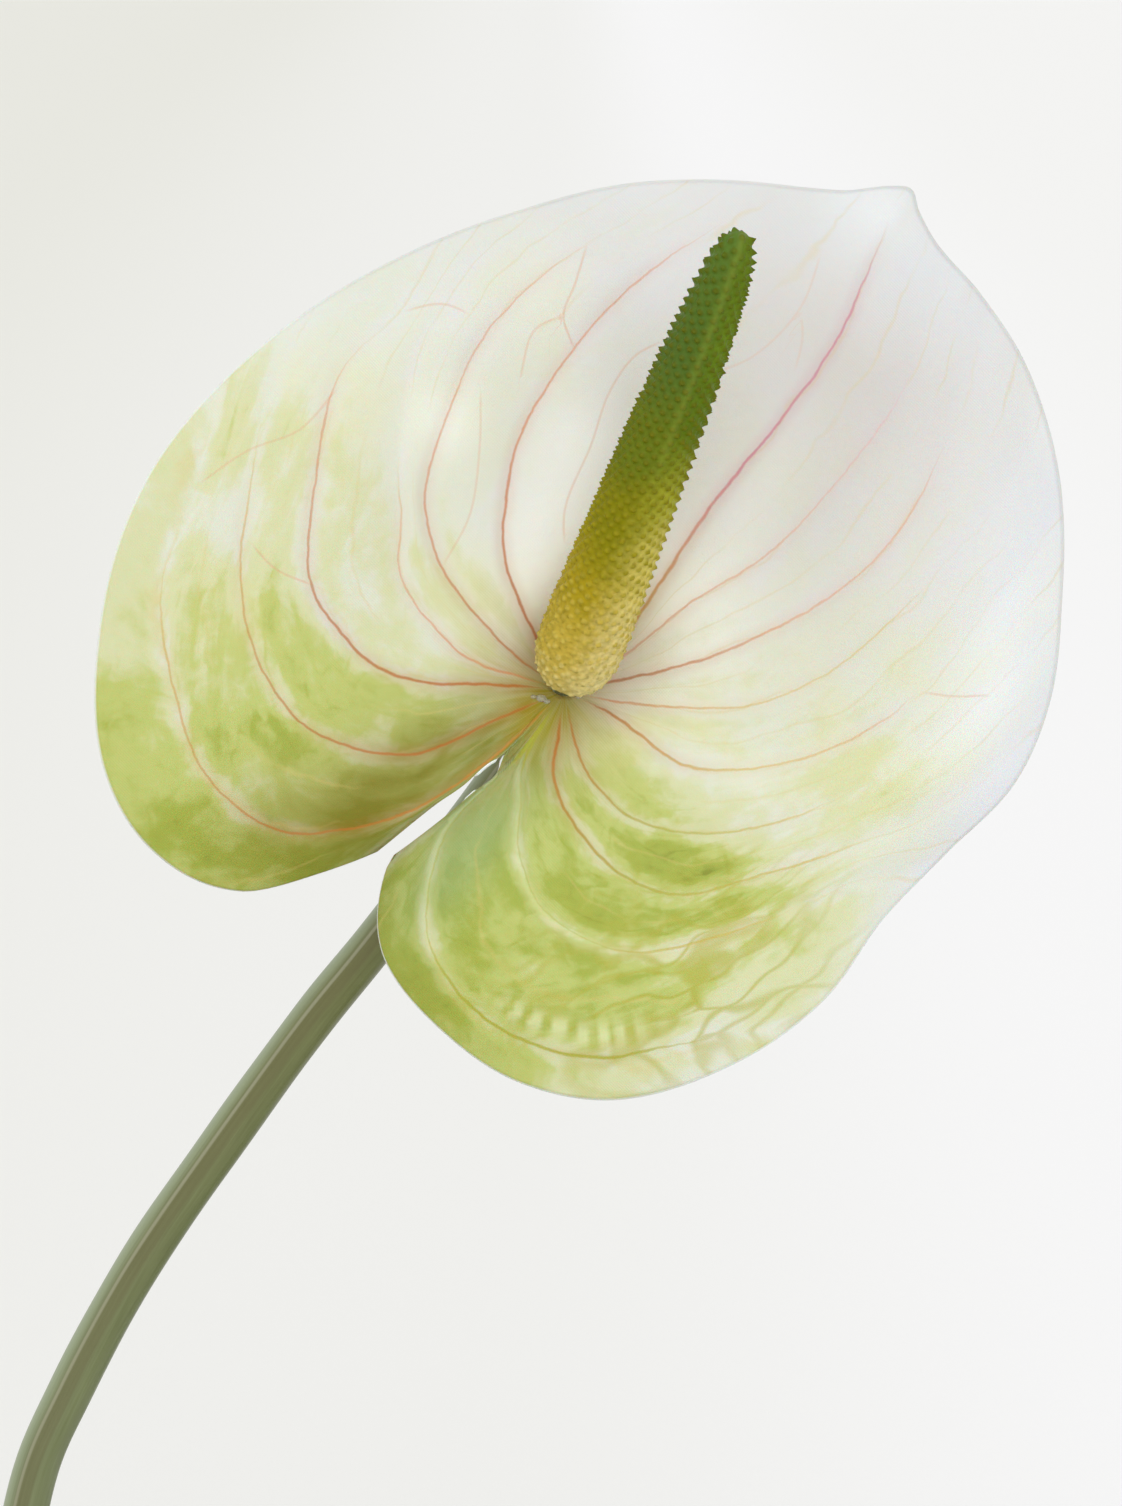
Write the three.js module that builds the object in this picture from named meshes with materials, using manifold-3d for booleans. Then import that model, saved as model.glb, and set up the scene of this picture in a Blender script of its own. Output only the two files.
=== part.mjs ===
// Potted anthurium: one heart-shaped bloom on a long bowed stem, seven leaves and a plain pot.
// Millimetres, +Z up. The origin is the centre of the pot's flat underside; the bloom faces -Y.
import * as THREE from 'three';
import { mergeVertices } from 'three/addons/utils/BufferGeometryUtils.js';
import Module from 'manifold-3d';

const wasm = await Module();
wasm.setup();

// ---------------------------------------------------------------- driving dimensions
const GAP = 0.4; // clearance between neighbouring pieces
const POT = { height: 118, footRadius: 47, rimRadius: 66, wall: 5, floor: 7, edge: 2.5 };
const DRAIN = { count: 3, radius: 5, circle: 26 };
const SOIL_TOP = 106;
const CROWN = { radius: 16, bottom: 84, dome: 9, ringRadius: 11.5 };

const BLOOM = {
  base: new THREE.Vector3(46, -25, 378), // where the stem passes through the spathe
  faceTilt: 10, // degrees that the face looks up
  midribLean: 35, // degrees that the midrib leans towards +X
};
const SPATHE = { thickness: 0.6, rings: 6, columnsPerPoint: 2 };
const PIT = { along: 6, depth: 8, radius: 9.5 }; // hollow under the spadix
const SPADIX = {
  length: 73.6,
  foot: new THREE.Vector3(-0.1, 0.6, -1), // its lowest point, in the bloom's frame
  direction: new THREE.Vector3(22.9, 57.9, 40).normalize(),
};
const PEG = { radius: 1.4, intoSpadix: 9 };
const STEM = { baseRadius: 3.5, topRadius: 2.95 };
const LEAF = { thickness: 0.6, rings: 3, columnsPerPoint: 1.5, notch: 0.11 };
const PETIOLE = { baseRadius: 2.6, midRadius: 1.9, knuckleRadius: 2.7 };

const rad = THREE.MathUtils.degToRad;
const { clamp, smoothstep, lerp } = THREE.MathUtils;
const bell = (x, width) => Math.exp(-((x / width) ** 2));

// ---------------------------------------------------------------- materials
const finish = (color, roughness) => new THREE.MeshStandardMaterial({ color, roughness, metalness: 0 });
const MATERIAL = {
  pot: finish(0xd9d4ca, 0.7),
  mix: finish(0x3b2a1f, 0.95),
  crown: finish(0x6d6a3c, 0.8),
  stem: finish(0x7f8560, 0.42),
  spathe: finish(0xe3e6c8, 0.45),
  spadix: finish(0x8a8a26, 0.5),
  leaf: finish(0x2f5a2a, 0.35),
  petiole: finish(0x5f7f3f, 0.45),
  papery: finish(0x9a7b4f, 0.8),
  root: finish(0xa09a72, 0.75),
};

// ---------------------------------------------------------------- solids
function toManifold(geometry) {
  const bare = geometry.clone();
  bare.deleteAttribute('normal');
  bare.deleteAttribute('uv');
  const merged = mergeVertices(bare, 1e-3);
  return new wasm.Manifold(new wasm.Mesh({
    numProp: 3,
    vertProperties: new Float32Array(merged.attributes.position.array),
    triVerts: new Uint32Array(merged.index.array),
  }));
}

function toGeometry(solid) {
  const mesh = solid.getMesh();
  const geometry = new THREE.BufferGeometry();
  geometry.setAttribute('position', new THREE.BufferAttribute(new Float32Array(mesh.vertProperties), 3));
  geometry.setIndex(new THREE.BufferAttribute(new Uint32Array(mesh.triVerts), 1));
  geometry.computeVertexNormals();
  return geometry;
}

// One geometry with the others cut away from it.
function cut(geometry, tools) {
  return toGeometry(tools.reduce((solid, tool) => solid.subtract(toManifold(tool)), toManifold(geometry)));
}

function piece(name, geometry, material) {
  const mesh = new THREE.Mesh(geometry, material);
  mesh.name = name;
  return mesh;
}

// A closed tube along a curve. radius(t) may change from t = 0 at the start to 1 at the end, grow
// widens it all round, and early starts it that far before the curve does.
function tube(curve, radius, steps, sides, grow = 0, early = 0) {
  const geometry = new THREE.CylinderGeometry(1, 1, 1, sides, steps);
  const frames = curve.computeFrenetFrames(steps, false);
  const place = geometry.attributes.position;
  for (let i = 0; i < place.count; i += 1) {
    const t = clamp(place.getY(i) + 0.5, 0, 1);
    const step = Math.round(t * steps);
    const r = radius(t) + grow;
    const point = curve.getPointAt(t)
      .addScaledVector(frames.binormals[step], place.getX(i) * r)
      .addScaledVector(frames.normals[step], place.getZ(i) * r);
    if (step === 0) point.addScaledVector(frames.tangents[0], -early);
    place.setXYZ(i, point.x, point.y, point.z);
  }
  return geometry;
}

// Radius of an outline at an angle: a smooth curve through [degrees, radius] points.
function outlineRadius(points, degrees) {
  let i = points.findIndex((p) => p[0] > degrees) - 1;
  if (i < 0) i = degrees < points[0][0] ? 0 : points.length - 2;
  const at = (k) => points[clamp(k, 0, points.length - 1)];
  const [a, b] = [at(i), at(i + 1)];
  const span = b[0] - a[0];
  const slope = (p, q) => (q[1] - p[1]) / Math.max(q[0] - p[0], 1e-6);
  const slopeA = slope(at(i - 1), b) * span;
  const slopeB = slope(a, at(i + 2)) * span;
  const t = clamp((degrees - a[0]) / span, 0, 1);
  return a[1] * (2 * t ** 3 - 3 * t ** 2 + 1) + slopeA * (t ** 3 - 2 * t ** 2 + t)
    + b[1] * (3 * t ** 2 - 2 * t ** 3) + slopeB * (t ** 3 - t ** 2);
}

// Splits the back's faces along the same diagonals as the front's, so that the two sides never cross.
function matchDiagonals(index, columns, rings) {
  for (let row = rings; row < rings * 2 - 1; row += 1) {
    for (let column = 0; column < columns; column += 1) {
      const start = 3 * columns * (2 * row - 1) + 6 * column;
      const [a, b, c, d] = [0, 1, 4, 5].map((k) => index.getX(start + k));
      [a, b, c, a, c, d].forEach((vertex, k) => index.setX(start + k, vertex));
    }
  }
}

// A thin closed blade: a flattened ball whose two halves become the front and the back.
// outline holds [degrees from the midrib, radius] points, clockwise from behind the base.
function blade(outline, columnsPerPoint, rings, thickness, depth) {
  const intervals = outline.length - 1;
  const columns = Math.round(intervals * columnsPerPoint);
  const geometry = new THREE.SphereGeometry(1, columns, rings * 2).rotateX(Math.PI / 2);
  matchDiagonals(geometry.index, columns, rings);
  const place = geometry.attributes.position;
  for (let i = 0; i < place.count; i += 1) {
    const fromPole = Math.acos(clamp(place.getZ(i), -1, 1)) / (Math.PI / 2);
    const side = fromPole < 1 ? 1 : -1;
    const share = clamp(side > 0 ? fromPole : 2 - fromPole, 0, 1);
    const turn = 1 - ((Math.atan2(place.getY(i), place.getX(i)) / (2 * Math.PI) + 1) % 1);
    const knot = share < 1e-6 ? 0 : Math.round(turn * intervals * columnsPerPoint) / columnsPerPoint;
    const first = Math.min(Math.floor(knot), intervals - 1);
    const degrees = lerp(outline[first][0], outline[first + 1][0], knot - first);
    const reach = share * outlineRadius(outline, degrees);
    const [x, y] = [reach * Math.sin(rad(degrees)), reach * Math.cos(rad(degrees))];
    const half = (thickness / 2) * Math.sqrt(Math.max(1 - share ** 8, 0));
    place.setXYZ(i, x, y, depth(x, y, share, degrees) + side * half);
  }
  return geometry;
}

// ---------------------------------------------------------------- pot, mix and crown
function potGeometry() {
  const { height, footRadius, rimRadius, wall, floor, edge } = POT;
  const slope = (rimRadius - footRadius) / height;
  const outline = new THREE.Path();
  outline.moveTo(0, 0);
  outline.lineTo(footRadius - edge, 0);
  outline.quadraticCurveTo(footRadius, 0, footRadius + slope * edge, edge);
  outline.lineTo(rimRadius - slope * wall, height - wall / 2);
  outline.absarc(rimRadius - wall / 2, height - wall / 2, wall / 2, 0, Math.PI, false);
  outline.lineTo(footRadius - wall + slope * (floor + 3), floor + 3);
  outline.quadraticCurveTo(footRadius - wall, floor, footRadius - wall - 4, floor);
  outline.lineTo(0, floor);
  const body = new THREE.LatheGeometry(outline.getPoints(3), 40).rotateX(Math.PI / 2);
  const holes = Array.from({ length: DRAIN.count }, (_, i) => {
    const azimuth = (2 * Math.PI * i) / DRAIN.count + Math.PI / 2;
    return new THREE.CylinderGeometry(DRAIN.radius, DRAIN.radius, floor * 4, 16).rotateX(Math.PI / 2)
      .translate(DRAIN.circle * Math.cos(azimuth), DRAIN.circle * Math.sin(azimuth), 0);
  });
  return cut(body, holes);
}

function crownProfile(grow) {
  const { radius, bottom, dome } = CROWN;
  const top = SOIL_TOP + dome;
  return [
    [0, bottom - grow], [radius * 0.7, bottom - grow], [radius + grow, bottom + 6],
    [radius + grow, SOIL_TOP + dome * 0.3], [radius * 0.82 + grow, top - 1.6 + grow], [0, top + grow],
  ].map(([x, y]) => new THREE.Vector2(x, y));
}

function crownBody(grow) {
  return new THREE.LatheGeometry(crownProfile(grow), 20).rotateX(Math.PI / 2);
}

function mixGeometry(rootRoutes) {
  const { footRadius, rimRadius, height, wall, floor } = POT;
  const innerRadius = (z) => footRadius - wall + ((rimRadius - footRadius) * z) / height - GAP;
  const profile = [
    [0, floor + GAP], [footRadius - wall - 6, floor + GAP], [innerRadius(floor + 6), floor + 6],
    [innerRadius(SOIL_TOP - 3) - 0.6, SOIL_TOP - 3], [innerRadius(SOIL_TOP) - 9, SOIL_TOP - 0.4],
    [26, SOIL_TOP + 0.8], [0, SOIL_TOP + 1],
  ].map(([x, y]) => new THREE.Vector2(x, y));
  const body = new THREE.LatheGeometry(profile, 36).rotateX(Math.PI / 2);
  return cut(body, [crownBody(GAP), ...rootRoutes.map((route) => rootTube(route, GAP))]);
}

// ---------------------------------------------------------------- roots and papery scales
const ROOTS = [
  { azimuth: 37, reach: 32, rise: 5 },
  { azimuth: 87, reach: 36, rise: 6 },
  { azimuth: 232, reach: 31, rise: 5 },
  { azimuth: 285, reach: 35, rise: 6 },
];

function rootRoute({ azimuth, reach, rise }) {
  const outward = new THREE.Vector3(Math.cos(rad(azimuth)), Math.sin(rad(azimuth)), 0);
  const at = (distance, z) => outward.clone().multiplyScalar(distance).setZ(z);
  return new THREE.CatmullRomCurve3([
    at(CROWN.radius - 3, SOIL_TOP + 1.8), at(CROWN.radius + 4, SOIL_TOP + rise),
    at(reach - 5, SOIL_TOP + 3), at(reach, SOIL_TOP - 2), at(reach + 1, SOIL_TOP - 9),
  ]);
}

const rootTube = (route, grow) => tube(route, (t) => lerp(1.7, 1.2, t), 10, 6, grow, grow);

const SCALE_OUTLINE = [
  [-180, 3], [-120, 4.6], [-70, 5.2], [-35, 8], [-12, 15], [0, 17], [12, 15], [35, 8], [70, 5.2],
  [120, 4.6], [180, 3],
];

function papery(name, azimuth) {
  const curl = (x, y) => -(x ** 2) / (2 * CROWN.radius) - 0.012 * y ** 2;
  const mesh = piece(name, blade(SCALE_OUTLINE, 2, 2, 0.5, curl), MATERIAL.papery);
  mesh.rotation.set(Math.PI / 2 + 0.35, 0, 0);
  mesh.position.set(0, -CROWN.radius - 4.4, SOIL_TOP + 5.2);
  const turned = new THREE.Group();
  turned.rotation.z = rad(azimuth + 90);
  turned.add(mesh);
  return turned;
}

// ---------------------------------------------------------------- bloom
// The spathe's edge, clockwise from the left side of the slit: [degrees from the midrib, radius].
const SPATHE_OUTLINE = [
  [-166, 33], [-162, 41], [-157, 51.5], [-147, 59.5], [-135, 63], [-118, 63], [-98, 62.6], [-77, 61.4],
  [-58, 62.3], [-42, 64.8], [-27, 69.3], [-14, 73.6], [-6, 77.6], [-2, 81.8], [-0.3, 82.9], [1.5, 81],
  [5, 78.9], [11, 77.8], [20, 76.2], [31, 73], [44, 68.4], [57, 65.3], [67, 61.8], [78, 56], [91, 52.7],
  [105, 54.2], [120, 55.1], [138, 55.7], [152, 53.3], [165, 49], [178, 44.4], [184, 40.6], [190, 34.5],
  [191.5, 32], [194, 33],
];
// The slit between the lobes, from its closed end out on the left and back on the right.
const SLIT = [
  [-1.3, -10.3], [-2.6, -13.2], [-5.3, -22.3], [-8.2, -32.4], [-11, -48],
  [-5.2, -48], [-6.2, -31.6], [-4.2, -25.6], [-2.8, -20.6], [-1.2, -15], [-0.7, -11.2],
];

// How far the spathe's middle surface stands forward of its base plane.
function spatheDepth(x, y, share, degrees) {
  const turn = ((degrees + 540) % 360) - 180;
  const away = Math.abs(turn);
  const pit = -PIT.depth * bell(Math.hypot(x, y - PIT.along), PIT.radius);
  const dish = 4.5 * Math.sin((Math.min(share / 0.8, 1) * Math.PI) / 2) ** 2 + 3 * (x / 60) ** 2;
  const rolled = 6.5 * (1 - smoothstep(Math.abs(turn - 12), 55, 105));
  const roll = -rolled * clamp((share - 0.76) / 0.24, 0, 1) ** 2;
  const lobes = -5.5 * clamp((share - 0.45) / 0.55, 0, 1) ** 2 * smoothstep(away, 95, 150);
  const fromSlit = Math.abs(((turn + 172 + 540) % 360) - 180);
  const valley = -4.5 * bell(fromSlit, 20) * smoothstep(Math.hypot(x, y), 6, 26);
  const tip = -3.5 * bell(turn, 9) * clamp((share - 0.8) / 0.2, 0, 1) ** 2;
  return pit + dish + roll + lobes + valley + tip;
}

function spatheGeometry() {
  const body = blade(SPATHE_OUTLINE, SPATHE.columnsPerPoint, SPATHE.rings, SPATHE.thickness, spatheDepth);
  const slit = new THREE.ExtrudeGeometry(
    new THREE.Shape(SLIT.map(([x, y]) => new THREE.Vector2(x, y))),
    { depth: 60, bevelEnabled: false },
  ).translate(0, 0, -30);
  return cut(body, [slit]);
}

function spadixProfile() {
  const tip = SPADIX.length;
  return [
    [0, 0], [2.7, 0.4], [4.6, 1.9], [5.8, 4.8], [6.1, 9], [5.9, 15], [5.6, 22], [5.25, 31], [4.9, 40],
    [4.5, 49], [4, 58], [3.4, 65.5], [2.8, tip - 3.8], [2.1, tip - 1.4], [1.1, tip - 0.3], [0, tip],
  ].map(([x, y]) => new THREE.Vector2(x, y));
}

const bloom = new THREE.Group();
bloom.position.copy(BLOOM.base);
bloom.rotation.x = rad(90 - BLOOM.faceTilt);
bloom.updateMatrixWorld(true);

// The stem's centre line: out of the crown, then up to the spathe, whose own frame the last points use.
const alongSpadix = (distance) => SPADIX.foot.clone().addScaledVector(SPADIX.direction, distance);
const STEM_FROM_CROWN = [
  [-2, 0, 98], [-4.5, 0, 112], [-13, 0, 140], [-24, -1, 173], [-31.5, -2, 208], [-33.5, -3, 236],
];
const STEM_TO_BLOOM = [[-75.6, -111.5, -42], [-70.2, -99, -40], [-60.3, -81, -36], [-47.9, -63, -31],
  [-34.7, -45, -25], [-26.7, -35.2, -21], [-12.9, -17.4, -12.6]];
const stemRoute = new THREE.CatmullRomCurve3([
  ...STEM_FROM_CROWN.map((p) => new THREE.Vector3(...p)),
  ...STEM_TO_BLOOM.map((p) => new THREE.Vector3(...p).applyMatrix4(bloom.matrixWorld)),
  ...[-9, -4, 0, PEG.intoSpadix].map((d) => alongSpadix(d).applyMatrix4(bloom.matrixWorld)),
], false, 'centripetal');
const stemLength = stemRoute.getLength();

// Full width up to the spathe, then a shoulder down to the peg that holds spathe and spadix.
function stemRadius(t) {
  const fromEnd = (1 - t) * stemLength - PEG.intoSpadix;
  const full = lerp(STEM.baseRadius, STEM.topRadius, t);
  return lerp(PEG.radius, full, smoothstep(fromEnd, 4.5, 9));
}

const STEM_STEPS = 64;
const stemTube = (grow) => tube(stemRoute, stemRadius, STEM_STEPS, 8, grow, grow);

function addBloom() {
  const pegHole = new THREE.CylinderGeometry(PEG.radius + GAP, PEG.radius + GAP, 40, 12);
  const toward = new THREE.Quaternion().setFromUnitVectors(new THREE.Vector3(0, 1, 0), SPADIX.direction);
  pegHole.applyQuaternion(toward).translate(...SPADIX.foot.toArray());
  const lean = rad(-BLOOM.midribLean);
  const spathe = piece('spathe', cut(spatheGeometry(), [pegHole.clone().rotateZ(-lean)]), MATERIAL.spathe);
  spathe.rotation.z = lean;

  const socket = new THREE.CylinderGeometry(PEG.radius + GAP, PEG.radius + GAP, 2 * (PEG.intoSpadix + 1), 12);
  const spadix = piece('spadix', cut(new THREE.LatheGeometry(spadixProfile(), 20), [socket]), MATERIAL.spadix);
  spadix.quaternion.copy(toward);
  spadix.position.copy(SPADIX.foot);
  bloom.add(spathe, spadix);
}

// ---------------------------------------------------------------- leaves
// Half of a leaf's edge as [degrees from the midrib, share of the leaf's length], from the tip back.
const LEAF_HALF = [
  [0, 1], [3, 0.955], [9, 0.86], [20, 0.74], [36, 0.62], [56, 0.52], [80, 0.455], [106, 0.425],
  [130, 0.41], [150, 0.375], [164, 0.3], [173, 0.2], [180, LEAF.notch],
];

function leafOutline(length, width) {
  const wide = (degrees) => 1 + (width - 1) * Math.sin(rad(degrees)) ** 2;
  const right = LEAF_HALF.map(([degrees, share]) => [degrees, share * length * wide(degrees)]);
  const left = right.slice(1).reverse().map(([degrees, radius]) => [-degrees, radius]);
  return [...left, ...right];
}

// azimuth: where the leaf points, counter-clockwise from +X; reach and height: its joint;
// drop: how far the midrib points down; arch: how much the blade bends down along the midrib;
// fold: how much its halves rise; roll: how far it leans sideways.
const LEAVES = [
  { azimuth: 10, reach: 76, height: 200, length: 126, width: 1, drop: 30, arch: 1, fold: 0.13, roll: 5 },
  { azimuth: 62, reach: 58, height: 222, length: 120, width: 0.97, drop: 26, arch: 0.8, fold: 0.16, roll: -6 },
  { azimuth: 110, reach: 81, height: 189, length: 128, width: 1.02, drop: 33, arch: 1, fold: 0.12, roll: 4 },
  { azimuth: 158, reach: 80, height: 214, length: 122, width: 1, drop: 32, arch: 0.9, fold: 0.14, roll: -5 },
  { azimuth: 208, reach: 74, height: 196, length: 116, width: 1.03, drop: 36, arch: 1.1, fold: 0.12, roll: 6 },
  { azimuth: 258, reach: 62, height: 224, length: 112, width: 0.96, drop: 32, arch: 0.9, fold: 0.17, roll: -4 },
  { azimuth: 312, reach: 74, height: 192, length: 122, width: 1.01, drop: 38, arch: 1, fold: 0.12, roll: -7 },
];

function leafDepth({ length, arch, fold }) {
  return (x, y, share, degrees) => {
    const bend = -(arch * 0.24 * y ** 2) / length;
    const halves = fold * (Math.sqrt(x ** 2 + 25) - 5) * (1 - 0.45 * share);
    const waves = 1.6 * share ** 3 * Math.sin(rad(degrees) * 5 + length);
    return bend + halves + waves;
  };
}

// A frame at the leaf's joint: X across the blade, Y along the midrib, Z out of its upper face.
function leafFrame({ azimuth, reach, height, drop, roll }) {
  const joint = new THREE.Group();
  joint.rotation.order = 'ZYX';
  joint.position.set(reach * Math.cos(rad(azimuth)), reach * Math.sin(rad(azimuth)), height);
  const pitched = new THREE.Quaternion().setFromEuler(new THREE.Euler(rad(-drop), 0, 0));
  const rolled = new THREE.Quaternion().setFromEuler(new THREE.Euler(0, rad(roll), 0));
  const turned = new THREE.Quaternion().setFromEuler(new THREE.Euler(0, 0, rad(azimuth - 90)));
  joint.quaternion.copy(turned.multiply(pitched).multiply(rolled));
  joint.updateMatrixWorld(true);
  return joint;
}

// The petiole leaves the crown's ring of leaf bases and comes up under the blade's base.
function petioleRoute(leaf, joint) {
  const outward = new THREE.Vector3(Math.cos(rad(leaf.azimuth)), Math.sin(rad(leaf.azimuth)), 0);
  const at = (distance, z) => outward.clone().multiplyScalar(distance).setZ(z);
  const under = (distance) => new THREE.Vector3(0, 0, -distance).applyMatrix4(joint.matrixWorld);
  const rise = leaf.height - SOIL_TOP;
  return new THREE.CatmullRomCurve3([
    at(CROWN.ringRadius - 1.5, SOIL_TOP - 1), at(CROWN.ringRadius + 1.5, SOIL_TOP + 11),
    at(leaf.reach * 0.36 + 5, SOIL_TOP + rise * 0.4), at(leaf.reach * 0.72, SOIL_TOP + rise * 0.76),
    under(11), under(5), under(LEAF.thickness / 2 + GAP),
  ], false, 'centripetal');
}

function petioleRadius(t) {
  const { baseRadius, midRadius, knuckleRadius } = PETIOLE;
  const stalk = lerp(baseRadius, midRadius, smoothstep(t, 0, 0.35));
  const knuckle = (knuckleRadius - midRadius) * smoothstep(t, 0.87, 0.92) * (1 - smoothstep(t, 0.96, 1));
  return stalk + knuckle;
}

const petioleTube = (route, grow) => tube(route, petioleRadius, 15, 6, grow, grow);

// A young leaf, still rolled into a spear.
const NEW_LEAF = { azimuth: 37, length: 92 };
function newLeafRoute() {
  const outward = new THREE.Vector3(Math.cos(rad(NEW_LEAF.azimuth)), Math.sin(rad(NEW_LEAF.azimuth)), 0);
  const at = (distance, z) => outward.clone().multiplyScalar(distance).setZ(z);
  const from = SOIL_TOP - 1;
  return new THREE.CatmullRomCurve3([
    at(CROWN.ringRadius - 7, from), at(CROWN.ringRadius - 5, from + 20),
    at(CROWN.ringRadius, from + NEW_LEAF.length * 0.6), at(CROWN.ringRadius + 8, from + NEW_LEAF.length),
  ]);
}

function newLeafRadius(t) {
  const stalk = 1.7;
  const rolledBlade = 1.9 * Math.sin(Math.PI * clamp((t - 0.42) / 0.58, 0, 1)) ** 0.8;
  return Math.max(stalk * (1 - smoothstep(t, 0.7, 1)) + rolledBlade, 0.35);
}

const newLeafTube = (grow) => tube(newLeafRoute(), newLeafRadius, 14, 6, grow, grow);

// ---------------------------------------------------------------- assembly
addBloom();
const plant = new THREE.Group();
plant.add(piece('pot', potGeometry(), MATERIAL.pot));

const rootRoutes = ROOTS.map(rootRoute);
plant.add(piece('potting_mix', mixGeometry(rootRoutes), MATERIAL.mix));
rootRoutes.forEach((route, i) => plant.add(piece(`aerial_root_${i + 1}`, rootTube(route, 0), MATERIAL.root)));

const sockets = [stemTube(GAP), newLeafTube(GAP), ...rootRoutes.map((route) => rootTube(route, GAP))];
LEAVES.forEach((leaf, i) => {
  const joint = leafFrame(leaf);
  const route = petioleRoute(leaf, joint);
  const outline = leafOutline(leaf.length, leaf.width);
  const sheet = blade(outline, LEAF.columnsPerPoint, LEAF.rings, LEAF.thickness, leafDepth(leaf));
  joint.add(piece(`leaf_${i + 1}`, sheet, MATERIAL.leaf));
  plant.add(joint, piece(`petiole_${i + 1}`, petioleTube(route, 0), MATERIAL.petiole));
  sockets.push(petioleTube(route, GAP));
});
plant.add(piece('new_leaf', newLeafTube(0), MATERIAL.petiole));
plant.add(piece('crown', cut(crownBody(0), sockets), MATERIAL.crown));
[134, 183, 337].forEach((azimuth, i) => plant.add(papery(`cataphyll_${i + 1}`, azimuth)));
plant.add(piece('peduncle', stemTube(0), MATERIAL.stem));
plant.add(bloom);

export default plant;
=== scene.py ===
"""A potted anthurium, dressed round its packed construction model.

Shapes are worked out in millimetres and written to the meshes in metres. The bloom has a frame of its
own: X to the right, Y up the face, Z out of it towards the viewer.
"""

from __future__ import annotations

import logging
import math
from collections.abc import Callable, Sequence
from dataclasses import dataclass, field
from enum import Enum

import bmesh
import bpy
import numpy as np
from mathutils import Matrix, Vector


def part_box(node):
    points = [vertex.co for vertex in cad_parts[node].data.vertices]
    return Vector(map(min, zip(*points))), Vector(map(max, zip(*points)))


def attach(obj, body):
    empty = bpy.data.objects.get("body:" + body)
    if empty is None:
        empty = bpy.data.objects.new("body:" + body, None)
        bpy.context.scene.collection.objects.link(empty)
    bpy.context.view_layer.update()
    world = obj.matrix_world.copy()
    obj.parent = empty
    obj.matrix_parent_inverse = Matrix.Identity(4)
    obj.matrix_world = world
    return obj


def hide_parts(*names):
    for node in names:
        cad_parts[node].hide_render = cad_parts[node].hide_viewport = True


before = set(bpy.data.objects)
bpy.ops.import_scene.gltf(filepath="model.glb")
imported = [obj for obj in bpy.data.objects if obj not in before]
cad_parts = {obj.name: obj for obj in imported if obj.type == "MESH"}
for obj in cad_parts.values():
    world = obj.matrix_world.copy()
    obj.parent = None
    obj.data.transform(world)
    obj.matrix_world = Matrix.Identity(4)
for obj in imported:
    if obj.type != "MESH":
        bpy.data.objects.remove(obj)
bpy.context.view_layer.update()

LOG = logging.getLogger("anthurium")
MM = 0.001
SEED = 11
BATCH_ROWS = 8000
SHEET_WELD = 0.004
GOLDEN_ANGLE = 137.50776
HEX_PACKING = 0.866

Array = np.ndarray
Colour = tuple[float, float, float, float]
Socket = bpy.types.NodeSocket


# ---------------------------------------------------------------- sizes from the frame
def extent(node: str, axis: int, end: int = 1) -> float:
    """How far a construction node reaches along an axis, in millimetres to the nearest tenth."""
    return round(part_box(node)[end][axis] / MM, 1)


POT_RIM = extent("pot", 0)
POT_HEIGHT = extent("pot", 2)
CROWN_RADIUS = extent("crown", 0)
CROWN_BOTTOM = extent("crown", 2, 0)
CROWN_DOME = 9.0
SOIL_TOP = extent("crown", 2) - CROWN_DOME
RING_RADIUS = 11.5


# ---------------------------------------------------------------- numbers and colours
def tint(code: str) -> Colour:
    """A scene-linear colour from a web colour code.

    Args:
        code: six hexadecimal digits after a hash.

    Returns:
        Red, green, blue and an alpha of 1.
    """
    values = [int(code[i : i + 2], 16) / 255 for i in (1, 3, 5)]
    linear = [v / 12.92 if v <= 0.04045 else ((v + 0.055) / 1.055) ** 2.4 for v in values]
    return (linear[0], linear[1], linear[2], 1.0)


def smooth(x: Array, start: float, end: float) -> Array:
    """An eased step from 0 at start to 1 at end."""
    t = np.clip((np.asarray(x, float) - start) / (end - start), 0, 1)
    return t * t * (3 - 2 * t)


def bell(x: Array, width: float) -> Array:
    """A bell curve that is 1 at zero."""
    return np.exp(-((np.asarray(x, float) / width) ** 2))


def turn_from(degrees: Array, centre: float) -> Array:
    """Angles measured from a centre, between -180 and 180 degrees."""
    return (np.asarray(degrees, float) - centre + 540) % 360 - 180


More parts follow.
